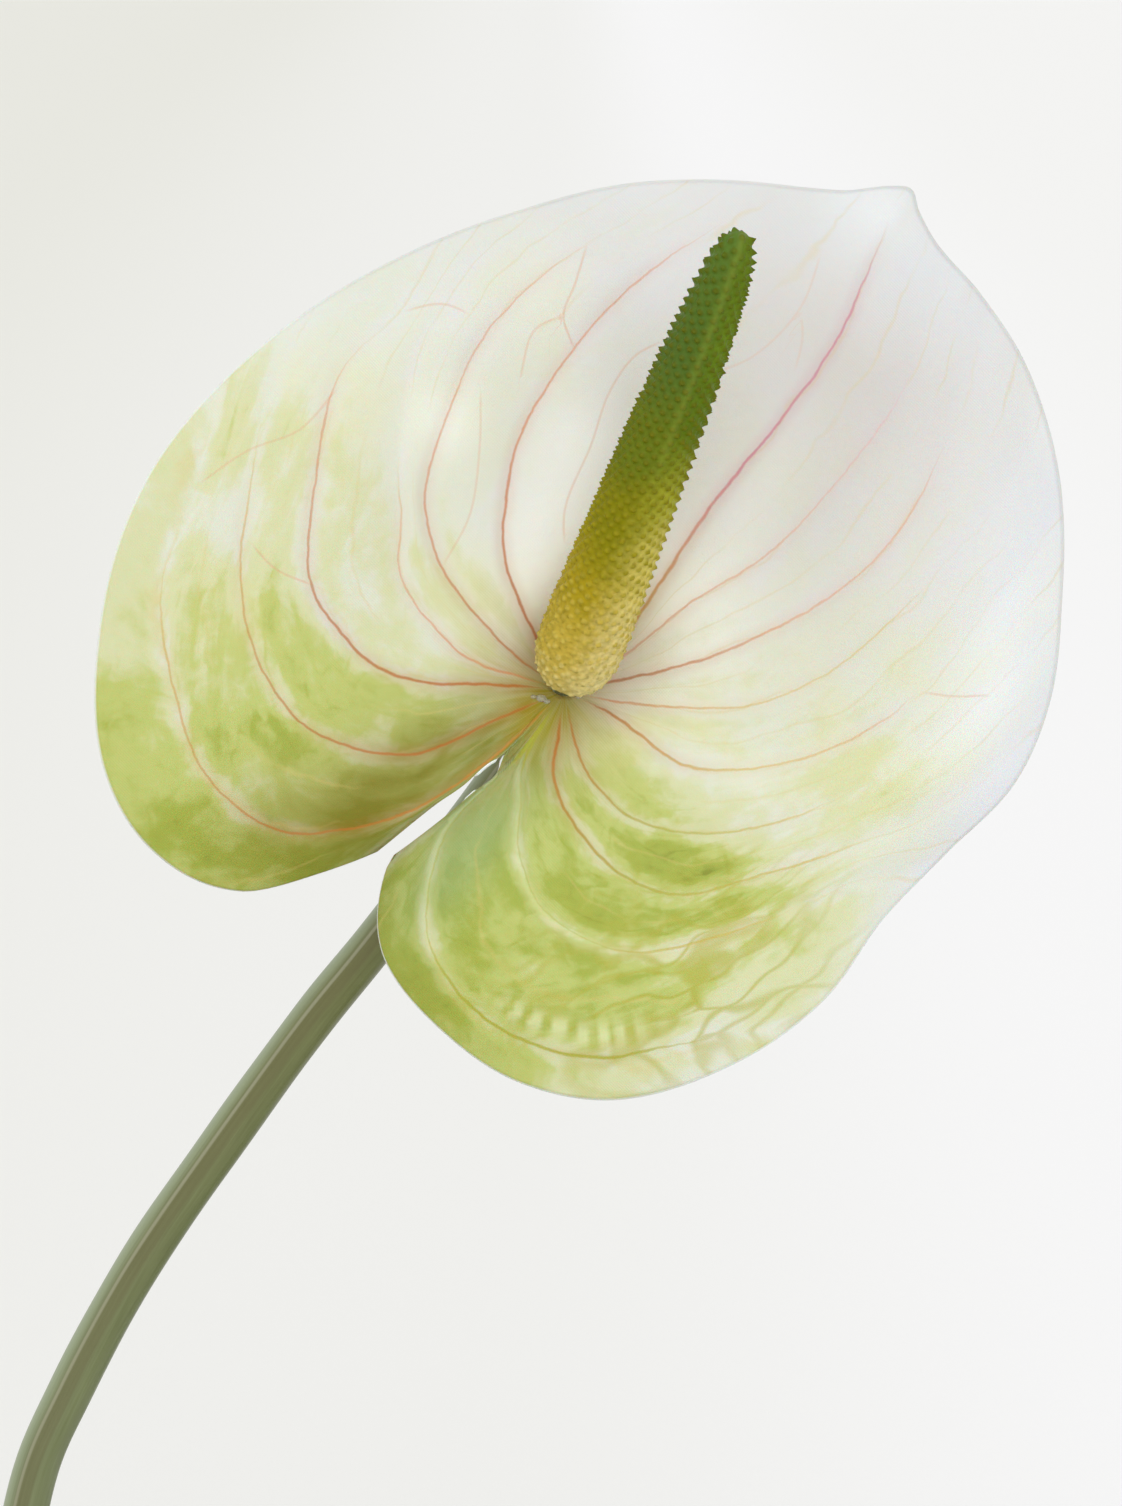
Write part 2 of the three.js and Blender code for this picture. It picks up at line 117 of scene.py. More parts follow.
def smooth_line(points: Sequence[Sequence[float]], spacing: float) -> Array:
    """A centripetal curve through a few chosen points, resampled at an even spacing.

    Args:
        points: the points that the curve passes through, in 2 or 3 dimensions.
        spacing: the distance between samples, in the points' own unit.

    Returns:
        One row for each sample, the two ends included.
    """
    given = np.array(points, float)
    padded = np.vstack([2 * given[0] - given[1], given, 2 * given[-1] - given[-2]])
    knots = np.sqrt(np.linalg.norm(np.diff(padded, axis=0), axis=1))
    t = np.linspace(0, 1, 24, endpoint=False)[:, None]
    pieces = []
    for k in range(len(given) - 1):
        p0, p1, p2, p3 = padded[k : k + 4]
        d0, d1, d2 = knots[k : k + 3]
        start = ((p1 - p0) / d0 - (p2 - p0) / (d0 + d1) + (p2 - p1) / d1) * d1
        end = ((p2 - p1) / d1 - (p3 - p1) / (d1 + d2) + (p3 - p2) / d2) * d1
        pieces.append(
            p1 * (2 * t**3 - 3 * t**2 + 1)
            + start * (t**3 - 2 * t**2 + t)
            + p2 * (3 * t**2 - 2 * t**3)
            + end * (t**3 - t**2)
        )
    fine = np.vstack([*pieces, given[-1:]])
    run = np.concatenate([[0], np.cumsum(np.linalg.norm(np.diff(fine, axis=0), axis=1))])
    count = max(2, round(run[-1] / spacing) + 1)
    wanted = np.linspace(0, run[-1], count)
    return np.column_stack([np.interp(wanted, run, fine[:, k]) for k in range(given.shape[1])])


def through(knots: Sequence[Sequence[float]], x: Array) -> Array:
    """A smooth function through a few (x, value) knots.

    Args:
        knots: pairs in rising order of x.
        x: where the function is wanted.

    Returns:
        The function's values.
    """
    table = np.array(knots, float)
    places, values = table[:, 0], table[:, 1]
    before = np.maximum(np.arange(len(table)) - 1, 0)
    after = np.minimum(np.arange(len(table)) + 1, len(table) - 1)
    slopes = (values[after] - values[before]) / (places[after] - places[before])
    i = np.clip(np.searchsorted(places, x, side="right") - 1, 0, len(table) - 2)
    span = places[i + 1] - places[i]
    t = np.clip((x - places[i]) / span, 0, 1)
    return (
        values[i] * (2 * t**3 - 3 * t**2 + 1)
        + slopes[i] * span * (t**3 - 2 * t**2 + t)
        + values[i + 1] * (3 * t**2 - 2 * t**3)
        + slopes[i + 1] * span * (t**3 - t**2)
    )


def beside(points: Array, line: Array) -> tuple[Array, Array]:
    """Where points lie beside a flat curve.

    Args:
        points: one row (x, y) for each point.
        line: the curve's samples, one row each.

    Returns:
        Signed distances, positive on the right of the curve's direction, and the run along it.
    """
    steps = np.diff(line, axis=0)
    lengths = np.linalg.norm(steps, axis=1)
    runs = np.concatenate([[0], np.cumsum(lengths)])
    nearest = nearest_rows(points, line)
    best = np.full(len(points), np.inf)
    signed, along = np.zeros(len(points)), np.zeros(len(points))
    for shift in (-1, 0):
        k = np.clip(nearest + shift, 0, len(steps) - 1)
        offset = points - line[k]
        t = np.clip((offset * steps[k]).sum(axis=1) / lengths[k] ** 2, 0, 1)
        distance = np.linalg.norm(offset - t[:, None] * steps[k], axis=1)
        left = steps[k, 0] * offset[:, 1] - steps[k, 1] * offset[:, 0] > 0
        nearer = distance < best
        best = np.where(nearer, distance, best)
        signed = np.where(nearer, np.where(left, -distance, distance), signed)
        along = np.where(nearer, runs[k] + t * lengths[k], along)
    return signed, along


def nearest_rows(points: Array, marks: Array) -> Array:
    """For each point, the number of the mark that is nearest to it.

    Args:
        points: one row for each point.
        marks: one row for each mark.

    Returns:
        The marks' row numbers.
    """
    nearest = np.zeros(len(points), int)
    level = (marks**2).sum(axis=1)
    for start in range(0, len(points), BATCH_ROWS):
        part = points[start : start + BATCH_ROWS]
        nearest[start : start + BATCH_ROWS] = (level - 2 * part @ marks.T).argmin(axis=1)
    return nearest


# ---------------------------------------------------------------- meshes
def coordinates(bm: bmesh.types.BMesh) -> Array:
    """The places of a mesh's vertices, one row each."""
    return np.array([v.co for v in bm.verts], float).reshape(-1, 3)


def move_to(bm: bmesh.types.BMesh, places: Array) -> None:
    """Moves each vertex of a mesh to its row of places."""
    for vertex, place in zip(bm.verts, places):
        vertex.co = place


def sheet_blank(columns: int, rows: int) -> tuple[bmesh.types.BMesh, Array, Array]:
    """A flat sheet of square faces, to be laid out by formula.

    Args:
        columns: faces across.
        rows: faces up.

    Returns:
        The mesh, and each vertex's share of the width and of the height.
    """
    bm = bmesh.new()
    bmesh.ops.create_grid(bm, x_segments=columns, y_segments=rows, size=0.5)
    shares = coordinates(bm)[:, :2] + 0.5
    return bm, shares[:, 0], shares[:, 1]


def turned_body(line: Array, sides: int) -> bmesh.types.BMesh:
    """A closed body turned about Z.

    Args:
        line: its section, one row (radius, height) for each ring.
        sides: faces round it.

    Returns:
        The mesh, with its seam and its poles welded, or its ends capped where it has none.
    """
    bm, turn, rise = sheet_blank(sides, len(line) - 1)
    row = np.rint(rise * (len(line) - 1)).astype(int)
    angle = 2 * math.pi * turn
    radius, height = np.maximum(line[row, 0], 0), line[row, 1]
    move_to(bm, np.column_stack([radius * np.cos(angle), radius * np.sin(angle), height]))
    bmesh.ops.remove_doubles(bm, verts=bm.verts, dist=0.0005)
    bmesh.ops.holes_fill(bm, edges=[e for e in bm.edges if e.is_boundary], sides=0)
    bmesh.ops.recalc_face_normals(bm, faces=bm.faces[:])
    bm.normal_update()
    return bm


def section(corners: Sequence[Sequence[float]], spacing: float) -> Array:
    """Rows along a section of straight stretches, no further apart than a spacing.

    Args:
        corners: the section's corners, one row (radius, height) each.
        spacing: the largest gap between rows.

    Returns:
        The rows, the corners among them.
    """
    marks = np.array(corners, float)
    run = np.concatenate([[0], np.cumsum(np.linalg.norm(np.diff(marks, axis=0), axis=1))])
    fine = np.unique(np.concatenate([run, np.arange(0, run[-1], spacing)]))
    fine = fine[np.concatenate([np.diff(fine) > spacing * 0.2, [True]])]
    return np.column_stack([np.interp(fine, run, marks[:, k]) for k in (0, 1)])


def tube_blank(steps: int, sides: int) -> bmesh.types.BMesh:
    """A straight capped tube of radius 1 along Z from 0 to 1, to be bent by formula."""
    rise = np.linspace(0, 1, steps + 1)
    return turned_body(np.column_stack([np.ones_like(rise), rise]), sides)


def carried_frames(line: Array) -> tuple[Array, Array, Array]:
    """Frames carried along a curve without twisting.

    Args:
        line: the curve's samples.

    Returns:
        Directions, and the two axes across them, one row for each sample.
    """
    direction = np.gradient(line, axis=0)
    direction /= np.linalg.norm(direction, axis=1)[:, None]
    first = np.zeros_like(line)
    start = np.cross(direction[0], (0.0, 1.0, 0.0))
    first[0] = start / np.linalg.norm(start)
    for k in range(1, len(line)):
        carried = first[k - 1] - direction[k] * (first[k - 1] @ direction[k])
        first[k] = carried / np.linalg.norm(carried)
    return direction, first, np.cross(direction, first)


def bend_tube(
    bm: bmesh.types.BMesh, line: Array, radius: Callable[[Array, Array], Array]
) -> Array:
    """Bends a tube blank along a curve.

    Args:
        bm: the blank.
        line: the curve's samples, in millimetres.
        radius: gives the radius from the run (0 to 1) and the angle round the tube.

    Returns:
        For each vertex the cosine and sine of its angle and its run in millimetres.
    """
    blank = coordinates(bm)
    run = np.clip(blank[:, 2], 0, 1)
    angle = np.arctan2(blank[:, 1], blank[:, 0])
    _, across, beyond = carried_frames(line)
    at = run * (len(line) - 1)
    k = np.minimum(at.astype(int), len(line) - 2)
    share = (at - k)[:, None]

    def between(rows: Array) -> Array:
        """Rows interpolated at each vertex's run."""
        return rows[k] * (1 - share) + rows[k + 1] * share

    size = radius(run, angle)[:, None]
    turned = np.cos(angle)[:, None] * between(across) + np.sin(angle)[:, None] * between(beyond)
    move_to(bm, between(line) + turned * size)
    length = np.linalg.norm(np.diff(line, axis=0), axis=1).sum()
    return np.column_stack([np.cos(angle), np.sin(angle), run * length])


def write_values(mesh: bpy.types.Mesh, name: str, values: Array) -> None:
    """Stores one number, vector or colour on each vertex of a mesh.

    Args:
        mesh: the mesh.
        name: the attribute's name.
        values: one row for each vertex, of 1, 3 or 4 numbers.
    """
    rows = np.asarray(values, np.float32)
    kind, key = {1: ("FLOAT", "value"), 3: ("FLOAT_VECTOR", "vector"), 4: ("FLOAT_COLOR", "color")}[
        1 if rows.ndim == 1 else rows.shape[1]
    ]
    attribute = mesh.attributes.new(name, kind, "POINT")
    attribute.data.foreach_set(key, rows.ravel())


def make_piece(
    name: str,
    bm: bmesh.types.BMesh,
    finishes: Sequence[bpy.types.Material],
    nodes: Sequence[str],
    values: dict[str, Array] | None = None,
) -> bpy.types.Object:
    """Turns a mesh in millimetres into a smooth piece that stands for construction nodes.

    Args:
        name: the piece's name.
        bm: the mesh, in millimetres in the part's frame; it is freed.
        finishes: its materials, in the order of its faces' indices.
        nodes: the construction nodes that it stands for.
        values: attributes to store on its vertices.

    Returns:
        The piece.
    """
    bmesh.ops.scale(bm, vec=(MM, MM, MM), verts=bm.verts)
    mesh = bpy.data.meshes.new(name)
    bm.to_mesh(mesh)
    bm.free()
    for key, rows in (values or {}).items():
        write_values(mesh, key, rows)
    mesh.shade_smooth()
    for finish in finishes:
        mesh.materials.append(finish)
    piece = bpy.data.objects.new(name, mesh)
    bpy.context.scene.collection.objects.link(piece)
    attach(piece, "root")
    if nodes:
        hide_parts(*nodes)
    LOG.info("%s: %d faces", name, len(mesh.polygons))
    return piece


def give_wall(sheet: bpy.types.Object, thickness: float) -> None:
    """Thickens a sheet behind its face; its back and cut edge take the second material.

    Args:
        sheet: the piece.
        thickness: the wall's thickness, in millimetres.
    """
    wall = sheet.modifiers.new("thickness", "SOLIDIFY")
    wall.thickness, wall.offset = thickness * MM, -1
    wall.material_offset = wall.material_offset_rim = 1


# ---------------------------------------------------------------- shading
class Shader:
    """A material's node tree, built by short calls."""

    def __init__(self, name: str, roughness: float, **settings: float) -> None:
        """Starts a material.

        Args:
            name: the material's name.
            roughness: the surface's roughness.
            settings: other sockets of the surface, by name with underscores for spaces.
        """
        self.material = bpy.data.materials.new(name)
        self.material.use_nodes = True
        self.tree = self.material.node_tree
        self.surface = self.tree.nodes["Principled BSDF"]
        self.surface.inputs["Roughness"].default_value = roughness
        for key, value in settings.items():
            self.surface.inputs[key.replace("_", " ")].default_value = value

    def put(self, socket: Socket, value: object) -> None:
        """Links a socket to another node's output, or sets it."""
        if isinstance(value, Socket):
            self.tree.links.new(value, socket)
        else:
            socket.default_value = value

    def node(self, kind: str, **settings: object) -> bpy.types.Node:
        """A new node of a kind, with its own settings.

        Args:
            kind: the node's type.
            settings: its properties, by name.

        Returns:
            The node.
        """
        made = self.tree.nodes.new(kind)
        for key, value in settings.items():
            setattr(made, key, value)
        return made

    def values(self, name: str) -> bpy.types.Node:
        """The node that reads a stored attribute."""
        return self.node("ShaderNodeAttribute", attribute_name=name)

    def stored(self, name: str) -> tuple[Socket, ...]:
        """The three numbers of a stored attribute."""
        return self.split(self.values(name).outputs["Vector"])

    def place(self) -> Socket:
        """The place on the object, in metres."""
        return self.node("ShaderNodeTexCoord").outputs["Object"]

    def math(self, operation: str, *values: object, clamp: bool = False) -> Socket:
        """One sum on numbers.

        Args:
            operation: which sum.
            values: its inputs, each a number or a socket.
            clamp: keeps the result between 0 and 1.

        Returns:
            The result.
        """
        made = self.node("ShaderNodeMath", operation=operation, use_clamp=clamp)
        for socket, value in zip(made.inputs, values):
            self.put(socket, value)
        return made.outputs[0]

    def times(self, first: object, second: object, clamp: bool = False) -> Socket:
        """The product of two numbers."""
        return self.math("MULTIPLY", first, second, clamp=clamp)

    def gap(self, first: object, second: object) -> Socket:
        """How far apart two numbers are."""
        return self.math("ABSOLUTE", self.math("SUBTRACT", first, second))

    def split(self, vector: Socket) -> tuple[Socket, ...]:
        """The three numbers of a vector.

        Args:
            vector: the vector.

        Returns:
            Its X, Y and Z.
        """
        made = self.node("ShaderNodeSeparateXYZ")
        self.put(made.inputs[0], vector)
        return tuple(made.outputs)

    def vector(self, x: object, y: object, z: object = 0.0) -> Socket:
        """A vector of three numbers.

        Args:
            x, y, z: each a number or a socket.

        Returns:
            The vector.
        """
        made = self.node("ShaderNodeCombineXYZ")
        for socket, value in zip(made.inputs, (x, y, z)):
            self.put(socket, value)
        return made.outputs[0]

    def noise(self, vector: Socket, scale: float, detail: float = 3.0, warp: float = 0.0) -> Socket:
        """Soft noise between 0 and 1.

        Args:
            vector: where it is read.
            scale: its fineness.
            detail: how many finer layers it has.
            warp: how much it is pulled about.

        Returns:
            The noise.
        """
        made = self.node("ShaderNodeTexNoise")
        self.put(made.inputs["Vector"], vector)
        made.inputs["Scale"].default_value = scale
        made.inputs["Detail"].default_value = detail
        made.inputs["Distortion"].default_value = warp
        return made.outputs[0]

    def wander(self, scale: float, reach: float, detail: float = 3.0) -> Socket:
        """Noise on the object that strays up and down from zero, by half its reach each way."""
        middle = self.math("SUBTRACT", self.noise(self.place(), scale, detail), 0.5)
        return self.times(middle, reach)

    def cells(self, vector: Socket, scale: float, edges: bool) -> Socket:
        """Distance to the nearest cell's middle, or to its edge.

        Args:
            vector: where it is read.
            scale: how fine the cells are.
            edges: whether it is measured to the edge.

        Returns:
            The distance, in cells.
        """
        feature = "DISTANCE_TO_EDGE" if edges else "F1"
        made = self.node("ShaderNodeTexVoronoi", feature=feature)
        self.put(made.inputs["Vector"], vector)
        made.inputs["Scale"].default_value = scale
        return made.outputs["Distance"]

    def step(self, value: object, start: float, end: float) -> Socket:
        """An eased step from 0 at start to 1 at end, which may be the lower of the two.

        Args:
            value: what is read.
            start: where the step begins.
            end: where it is complete.

        Returns:
            The step.
        """
        made = self.node("ShaderNodeMapRange", interpolation_type="SMOOTHSTEP")
        rising = start < end
        for socket, v in zip(
            made.inputs,
            (value, min(start, end), max(start, end), 0.0 if rising else 1.0, 1.0 if rising else 0.0),
        ):
            self.put(socket, v)
        return made.outputs[0]

    def mix(self, share: object, first: object, second: object) -> Socket:
        """One colour over another, by a share.

        Args:
            share: how much of the second shows.
            first: the colour below.
            second: the colour on top.

        Returns:
            The mixed colour.
        """
        made = self.node("ShaderNodeMix", data_type="RGBA")
        for name, value in (("Factor_Float", share), ("A_Color", first), ("B_Color", second)):
            socket = next(s for s in made.inputs if s.identifier == name)
            self.put(socket, value)
        return next(s for s in made.outputs if s.identifier == "Result_Color")

    def ramp(self, share: object, *stops: tuple[float, str]) -> Socket:
        """A colour read from stops of (place, colour code).

        Args:
            share: where the ramp is read.
            stops: the places and their colour codes.

        Returns:
            The colour.
        """
        made = self.node("ShaderNodeValToRGB")
        made.color_ramp.interpolation = "EASE"
        marks = made.color_ramp.elements
        while len(marks) < len(stops):
            marks.new(0.5)
        for mark, (place, code) in zip(marks, sorted(stops)):
            mark.position, mark.color = place, tint(code)
        self.put(made.inputs[0], share)
        return made.outputs[0]

    def raise_by(self, height: object, distance: float, strength: float = 1.0) -> None:
        """Adds relief to the surface, over any that is there.

        Args:
            height: the relief, from 0 to 1.
            distance: how high 1 stands, in metres.
            strength: how much of it shows.
        """
        made = self.node("ShaderNodeBump")
        made.inputs["Strength"].default_value = strength
        made.inputs["Distance"].default_value = distance
        self.put(made.inputs["Height"], height)
        normal = self.surface.inputs["Normal"]
        if normal.is_linked:
            self.put(made.inputs["Normal"], normal.links[0].from_socket)
        self.put(normal, made.outputs[0])

    def colour(self, value: object) -> bpy.types.Material:
        """Sets the surface's colour and gives the finished material."""
        self.put(self.surface.inputs["Base Color"], value)
        return self.material


# ---------------------------------------------------------------- frames of reference
@dataclass(frozen=True)
class Placement:
    """A frame set in the part's own: an origin and three axes, in millimetres."""

    origin: Array
    axes: Array

    def outward(self, points: Array) -> Array:
        """Takes points of this frame to the part's frame."""
        return self.origin + np.asarray(points, float) @ self.axes

    def turned(self, degrees: float) -> Placement:
        """The same frame turned about its own Z."""
        c, s = math.cos(math.radians(degrees)), math.sin(math.radians(degrees))
        return Placement(self.origin, np.array([[c, s, 0], [-s, c, 0], [0, 0, 1]]) @ self.axes)


FACE_TILT = 10.0
MIDRIB_LEAN = 35.0
_UP, _OUT = math.sin(math.radians(FACE_TILT)), math.cos(math.radians(FACE_TILT))
BLOOM = Placement(np.array([46.0, -25.0, 378.0]), np.array([[1, 0, 0], [0, _UP, _OUT], [0, -_OUT, _UP]]))
SPATHE_FRAME = BLOOM.turned(-MIDRIB_LEAN)


# ---------------------------------------------------------------- the studio
@dataclass
class Studio:
    """A pale floor, soft light and the camera that faces the bloom."""

    floor_radius: float = 40.0
    distance: float = 763.0
    aim: tuple[float, float] = (-0.54, -8.5)
    lens: float = 135.1
    tilt: float = 10.0
    sky: float = 0.87
    key: float = 0.55
    fill: float = 0.85

    def camera(self) -> None:
        """Sets the camera on the bloom's own axis, looking slightly down."""
        lean = math.radians(self.tilt)
        look = np.array([0, math.cos(lean), -math.sin(lean)])
        up = np.array([0, math.sin(lean), math.cos(lean)])
        target = BLOOM.origin + np.array([1, 0, 0]) * self.aim[0] + up * self.aim[1]
        lens = bpy.data.cameras.new("camera")
        lens.lens, lens.sensor_width, lens.clip_end = self.lens, 36.0, 200.0
        camera = bpy.data.objects.new("camera", lens)
        camera.location = Vector((target - look * self.distance) * MM)
        camera.rotation_euler = Vector(look).to_track_quat("-Z", "Y").to_euler()
        bpy.context.scene.collection.objects.link(camera)
        bpy.context.scene.camera = camera

    def sun(self, name: str, strength: float, towards: tuple[float, float, float], spread: float) -> None:
        """Adds one soft sun.

        Args:
            name: its name.
            strength: its power.
            towards: the direction in which its light travels.
            spread: its width in degrees, which softens the shadows.
        """
        lamp = bpy.data.lights.new(name, "SUN")
        lamp.energy, lamp.angle = strength, math.radians(spread)
        holder = bpy.data.objects.new(name, lamp)
        holder.rotation_euler = Vector(towards).to_track_quat("-Z", "Y").to_euler()
        bpy.context.scene.collection.objects.link(holder)

    def light(self) -> None:
        """Sets an even pale sky, a key from the upper left and a broad fill from the front."""
        world = bpy.data.worlds.new("sky")
        world.use_nodes = True
        sky = world.node_tree.nodes["Background"]
        sky.inputs["Color"].default_value = tint("#f8f9f9")
        sky.inputs["Strength"].default_value = self.sky
        bpy.context.scene.world = world
        self.sun("key", self.key, (0.5, 0.62, -0.6), 60)
        self.sun("fill", self.fill, (-0.15, 1.0, -0.12), 45)
        bpy.context.scene.view_settings.view_transform = "Standard"

    def floor(self) -> None:
        """Lays the floor, painted a little lighter on the right as painted light falling more on that side.
        """
        paper = Shader("floor", 0.95)
        across = paper.split(paper.place())[0]
        # painted light: the colour steps lighter towards the right, standing for brighter light on that side
        colour = paper.ramp(
            paper.math("MULTIPLY_ADD", across, 0.8, 0.5), (0.0, "#ebeae2"), (0.5, "#f4f3f0"),
            (0.7, "#fbfafa"), (1.0, "#f8f7f5")
        )
        paper.raise_by(paper.noise(paper.place(), 900), 0.0002, 0.3)
        bm = bmesh.new()
        bmesh.ops.create_circle(bm, cap_ends=True, segments=128, radius=self.floor_radius)
        mesh = bpy.data.meshes.new("floor")
        bm.to_mesh(mesh)
        bm.free()
        mesh.materials.append(paper.colour(colour))
        floor = bpy.data.objects.new("floor", mesh)
        bpy.context.scene.collection.objects.link(floor)

    def build(self) -> None:
        """Makes the whole studio."""
        self.camera()
        self.light()
        self.floor()


# ---------------------------------------------------------------- the spathe
class VeinKind(Enum):
    """How a vein shows on the sheet."""

    PRINTED = "a thin coloured line in a slight groove"
    # the ridge's pale colour is a painted highlight, where the ridge catches the light
    RAISED = "a pale moulded ridge that fades into an olive line"
    GUIDE = "no line: it only steers the grain"


class Ink(Enum):
    """The colours of the veins."""

    ROSE = "#c98350"
    PINK = "#c07a8c"
    LILAC = "#d6b7c6"
    BLUSH = "#d3a07a"
    RUST = "#a9661b"
    AMBER = "#c08a30"
    STRAW = "#cbb55e"
    OLIVE = "#9fa534"


@dataclass(frozen=True)
class Vein:
    """One main vein: its path on the flat sheet and its colours from the base outwards."""

    path: tuple[tuple[float, float], ...]
    drawn: float
    inks: tuple[Ink, Ink, Ink]
    strength: float
    kind: VeinKind = VeinKind.PRINTED


@dataclass(frozen=True)
class Branch:
    """A fine cross vein: its path on the flat sheet, its drawn length and its strength."""

    path: tuple[tuple[float, float], ...]
    drawn: float
    strength: float


GUIDE_INKS = (Ink.OLIVE, Ink.OLIVE, Ink.OLIVE)
VEINS = (
    Vein(((0, 0), (-1.3, -10.3), (-5.3, -22.3), (-8.2, -32.4), (-14, -56)), 0, GUIDE_INKS, 0, VeinKind.GUIDE),
    Vein(((0, 0), (-3, -14), (-7, -24), (-14, -33), (-22, -38), (-33, -37), (-42, -31), (-52, -20),
          (-56, -6), (-61, 5), (-66, 12)), 92, (Ink.AMBER, Ink.RUST, Ink.STRAW), 0.80),
    Vein(((0, 0), (-5, -8), (-11, -18), (-17, -22), (-26, -24), (-35, -21), (-44, -13), (-50, -2),
          (-55, 9), (-57, 20), (-60, 34)), 82, (Ink.RUST, Ink.RUST, Ink.STRAW), 0.80),
    Vein(((0, 0), (-10, -6), (-16, -10), (-23, -12), (-29, -11), (-36, -8), (-43, 3), (-49, 18), (-47, 29),
          (-48, 38), (-50, 50)), 76, (Ink.RUST, Ink.RUST, Ink.BLUSH), 0.9),
    Vein(((0, 0), (-6, -2), (-13, -4), (-20, -3), (-27, 0), (-31, 6), (-37, 14), (-42, 26), (-43, 40),
          (-39, 54), (-35, 68)), 43, (Ink.ROSE, Ink.ROSE, Ink.BLUSH), 0.62),
    Vein(((0, 0), (-8, 0), (-14, 1), (-23, 4), (-30, 10), (-34, 21), (-36, 33), (-34, 45), (-30, 55),
          (-26, 66), (-24, 78)), 78, (Ink.RUST, Ink.ROSE, Ink.BLUSH), 0.66),
    Vein(((0, 0), (-8, 4), (-17, 10), (-22, 18), (-25, 27), (-24, 48), (-19, 63), (-14, 74), (-11, 84)),
         78, (Ink.RUST, Ink.ROSE, Ink.BLUSH), 0.85),
    Vein(((0, 0), (2, 6), (2, 33), (3, 46), (3, 59), (1, 70), (-1, 80), (-1, 92)),
         78, (Ink.STRAW, Ink.PINK, Ink.PINK), 1.1),
    Vein(((0, 0), (4, 9), (7, 19), (12, 31), (14, 45), (14, 60), (11, 70), (9, 84)),
         68, (Ink.BLUSH, Ink.BLUSH, Ink.LILAC), 0.58),
    Vein(((0, 0), (3, 3), (12, 13), (20, 26), (24, 38), (24, 50), (20, 66), (16, 82)),
         66, (Ink.RUST, Ink.BLUSH, Ink.BLUSH), 0.75),
    Vein(((0, 0), (9, 4), (22, 13), (28, 23), (31, 35), (33, 50), (32, 62), (28, 80)),
         56, (Ink.ROSE, Ink.STRAW, Ink.STRAW), 0.60),
    Vein(((0, 0), (8, 1), (19, 1), (28, 7), (35, 16), (39, 27), (40, 37), (41, 52), (41, 74)),
         54, (Ink.RUST, Ink.STRAW, Ink.BLUSH), 0.85),
    Vein(((0, 0), (4, -4), (8, -7), (17, -9), (25, -6), (32, 0), (40, 12), (45, 26), (48, 42), (50, 62)),
         50, (Ink.RUST, Ink.OLIVE, Ink.STRAW), 0.80),
    Vein(((0, 0), (3, -6), (5, -10), (9, -13), (19, -16), (28, -14), (36, -5), (43, 4), (50, 16), (56, 38)),
         66, (Ink.RUST, Ink.OLIVE, Ink.STRAW), 0.95),
    Vein(((0, 0), (1, -11), (4, -16), (7, -21), (15, -26), (27, -24), (36, -15), (43, -5), (49, 4), (62, 14)),
         70, (Ink.OLIVE, Ink.OLIVE, Ink.STRAW), 1.1, VeinKind.RAISED),
    Vein(((0, 0), (0, -11), (-2, -22), (-1.5, -28), (4, -38), (13, -42), (22, -42), (32, -38), (40, -30),
          (51, -19), (62, -10)), 88, (Ink.OLIVE, Ink.OLIVE, Ink.OLIVE), 1.5, VeinKind.RAISED),
    Vein(((0, 0), (-0.7, -11.2), (-2.8, -20.6), (-6.2, -31.6), (-8, -42), (-6, -60)), 0,
         GUIDE_INKS, 0, VeinKind.GUIDE),
)
BRANCHES = (
    Branch(((-46, -8), (-41, -9), (-36, -8)), 11, 0.5),
    Branch(((-32, 51), (-30, 45), (-29, 41), (-25, 38)), 16, 0.5),
    Branch(((-29, 41), (-31, 37), (-29, 31)), 12, 0.4),
    Branch(((-16, 46), (-18, 42), (-18, 36), (-16, 29), (-14, 20), (-10.5, 15)), 32, 0.4),
    Branch(((-5.5, 68), (-3.5, 60), (-5, 51), (-9, 45)), 24, 0.26),
    Branch(((-3.5, 60), (-1, 57), (1, 52)), 9, 0.24),
    Branch(((39, 27), (43, 29), (47, 32)), 10, 0.4),
    Branch(((-23, 4), (-24, 12), (-28, 20), (-32, 26)), 25, 0.35),
    Branch(((-47, 29), (-43, 33), (-38, 34)), 10, 0.4),
    Branch(((-56, -6), (-53, 2), (-49, 8), (-48, 16)), 24, 0.4),
)


class Wash(Enum):
    """The thin colours laid over the white sheet, by their channel: green and yellow print; olive print that
    is also painted shade in the pit and by the slit; and painted light and shade: a cool painted reflection
    on the rolled rim, a teal painted shadow by the slit, a grey painted shade and a white painted light.
    """

    GREEN = 0
    YELLOW = 1
    RIM_REFLECTION = 2
    OLIVE = 3
    SLIT_SHADOW = 4
    PAINTED_SHADE = 5
    PAINTED_LIGHT = 6


@dataclass(frozen=True)
class Patch:
    """A soft patch of one wash: its middle, its half sizes, its lean and its strength."""

    wash: Wash
    middle: tuple[float, float]
    half: tuple[float, float]
    lean: float
    strength: float


def patches(wash: Wash, *rows: tuple[float, ...]) -> tuple[Patch, ...]:
    """Patches of one wash, from rows of (x, y, half width, half height, lean, strength)."""
    return tuple(Patch(wash, row[:2], row[2:4], row[4], row[5]) for row in rows)


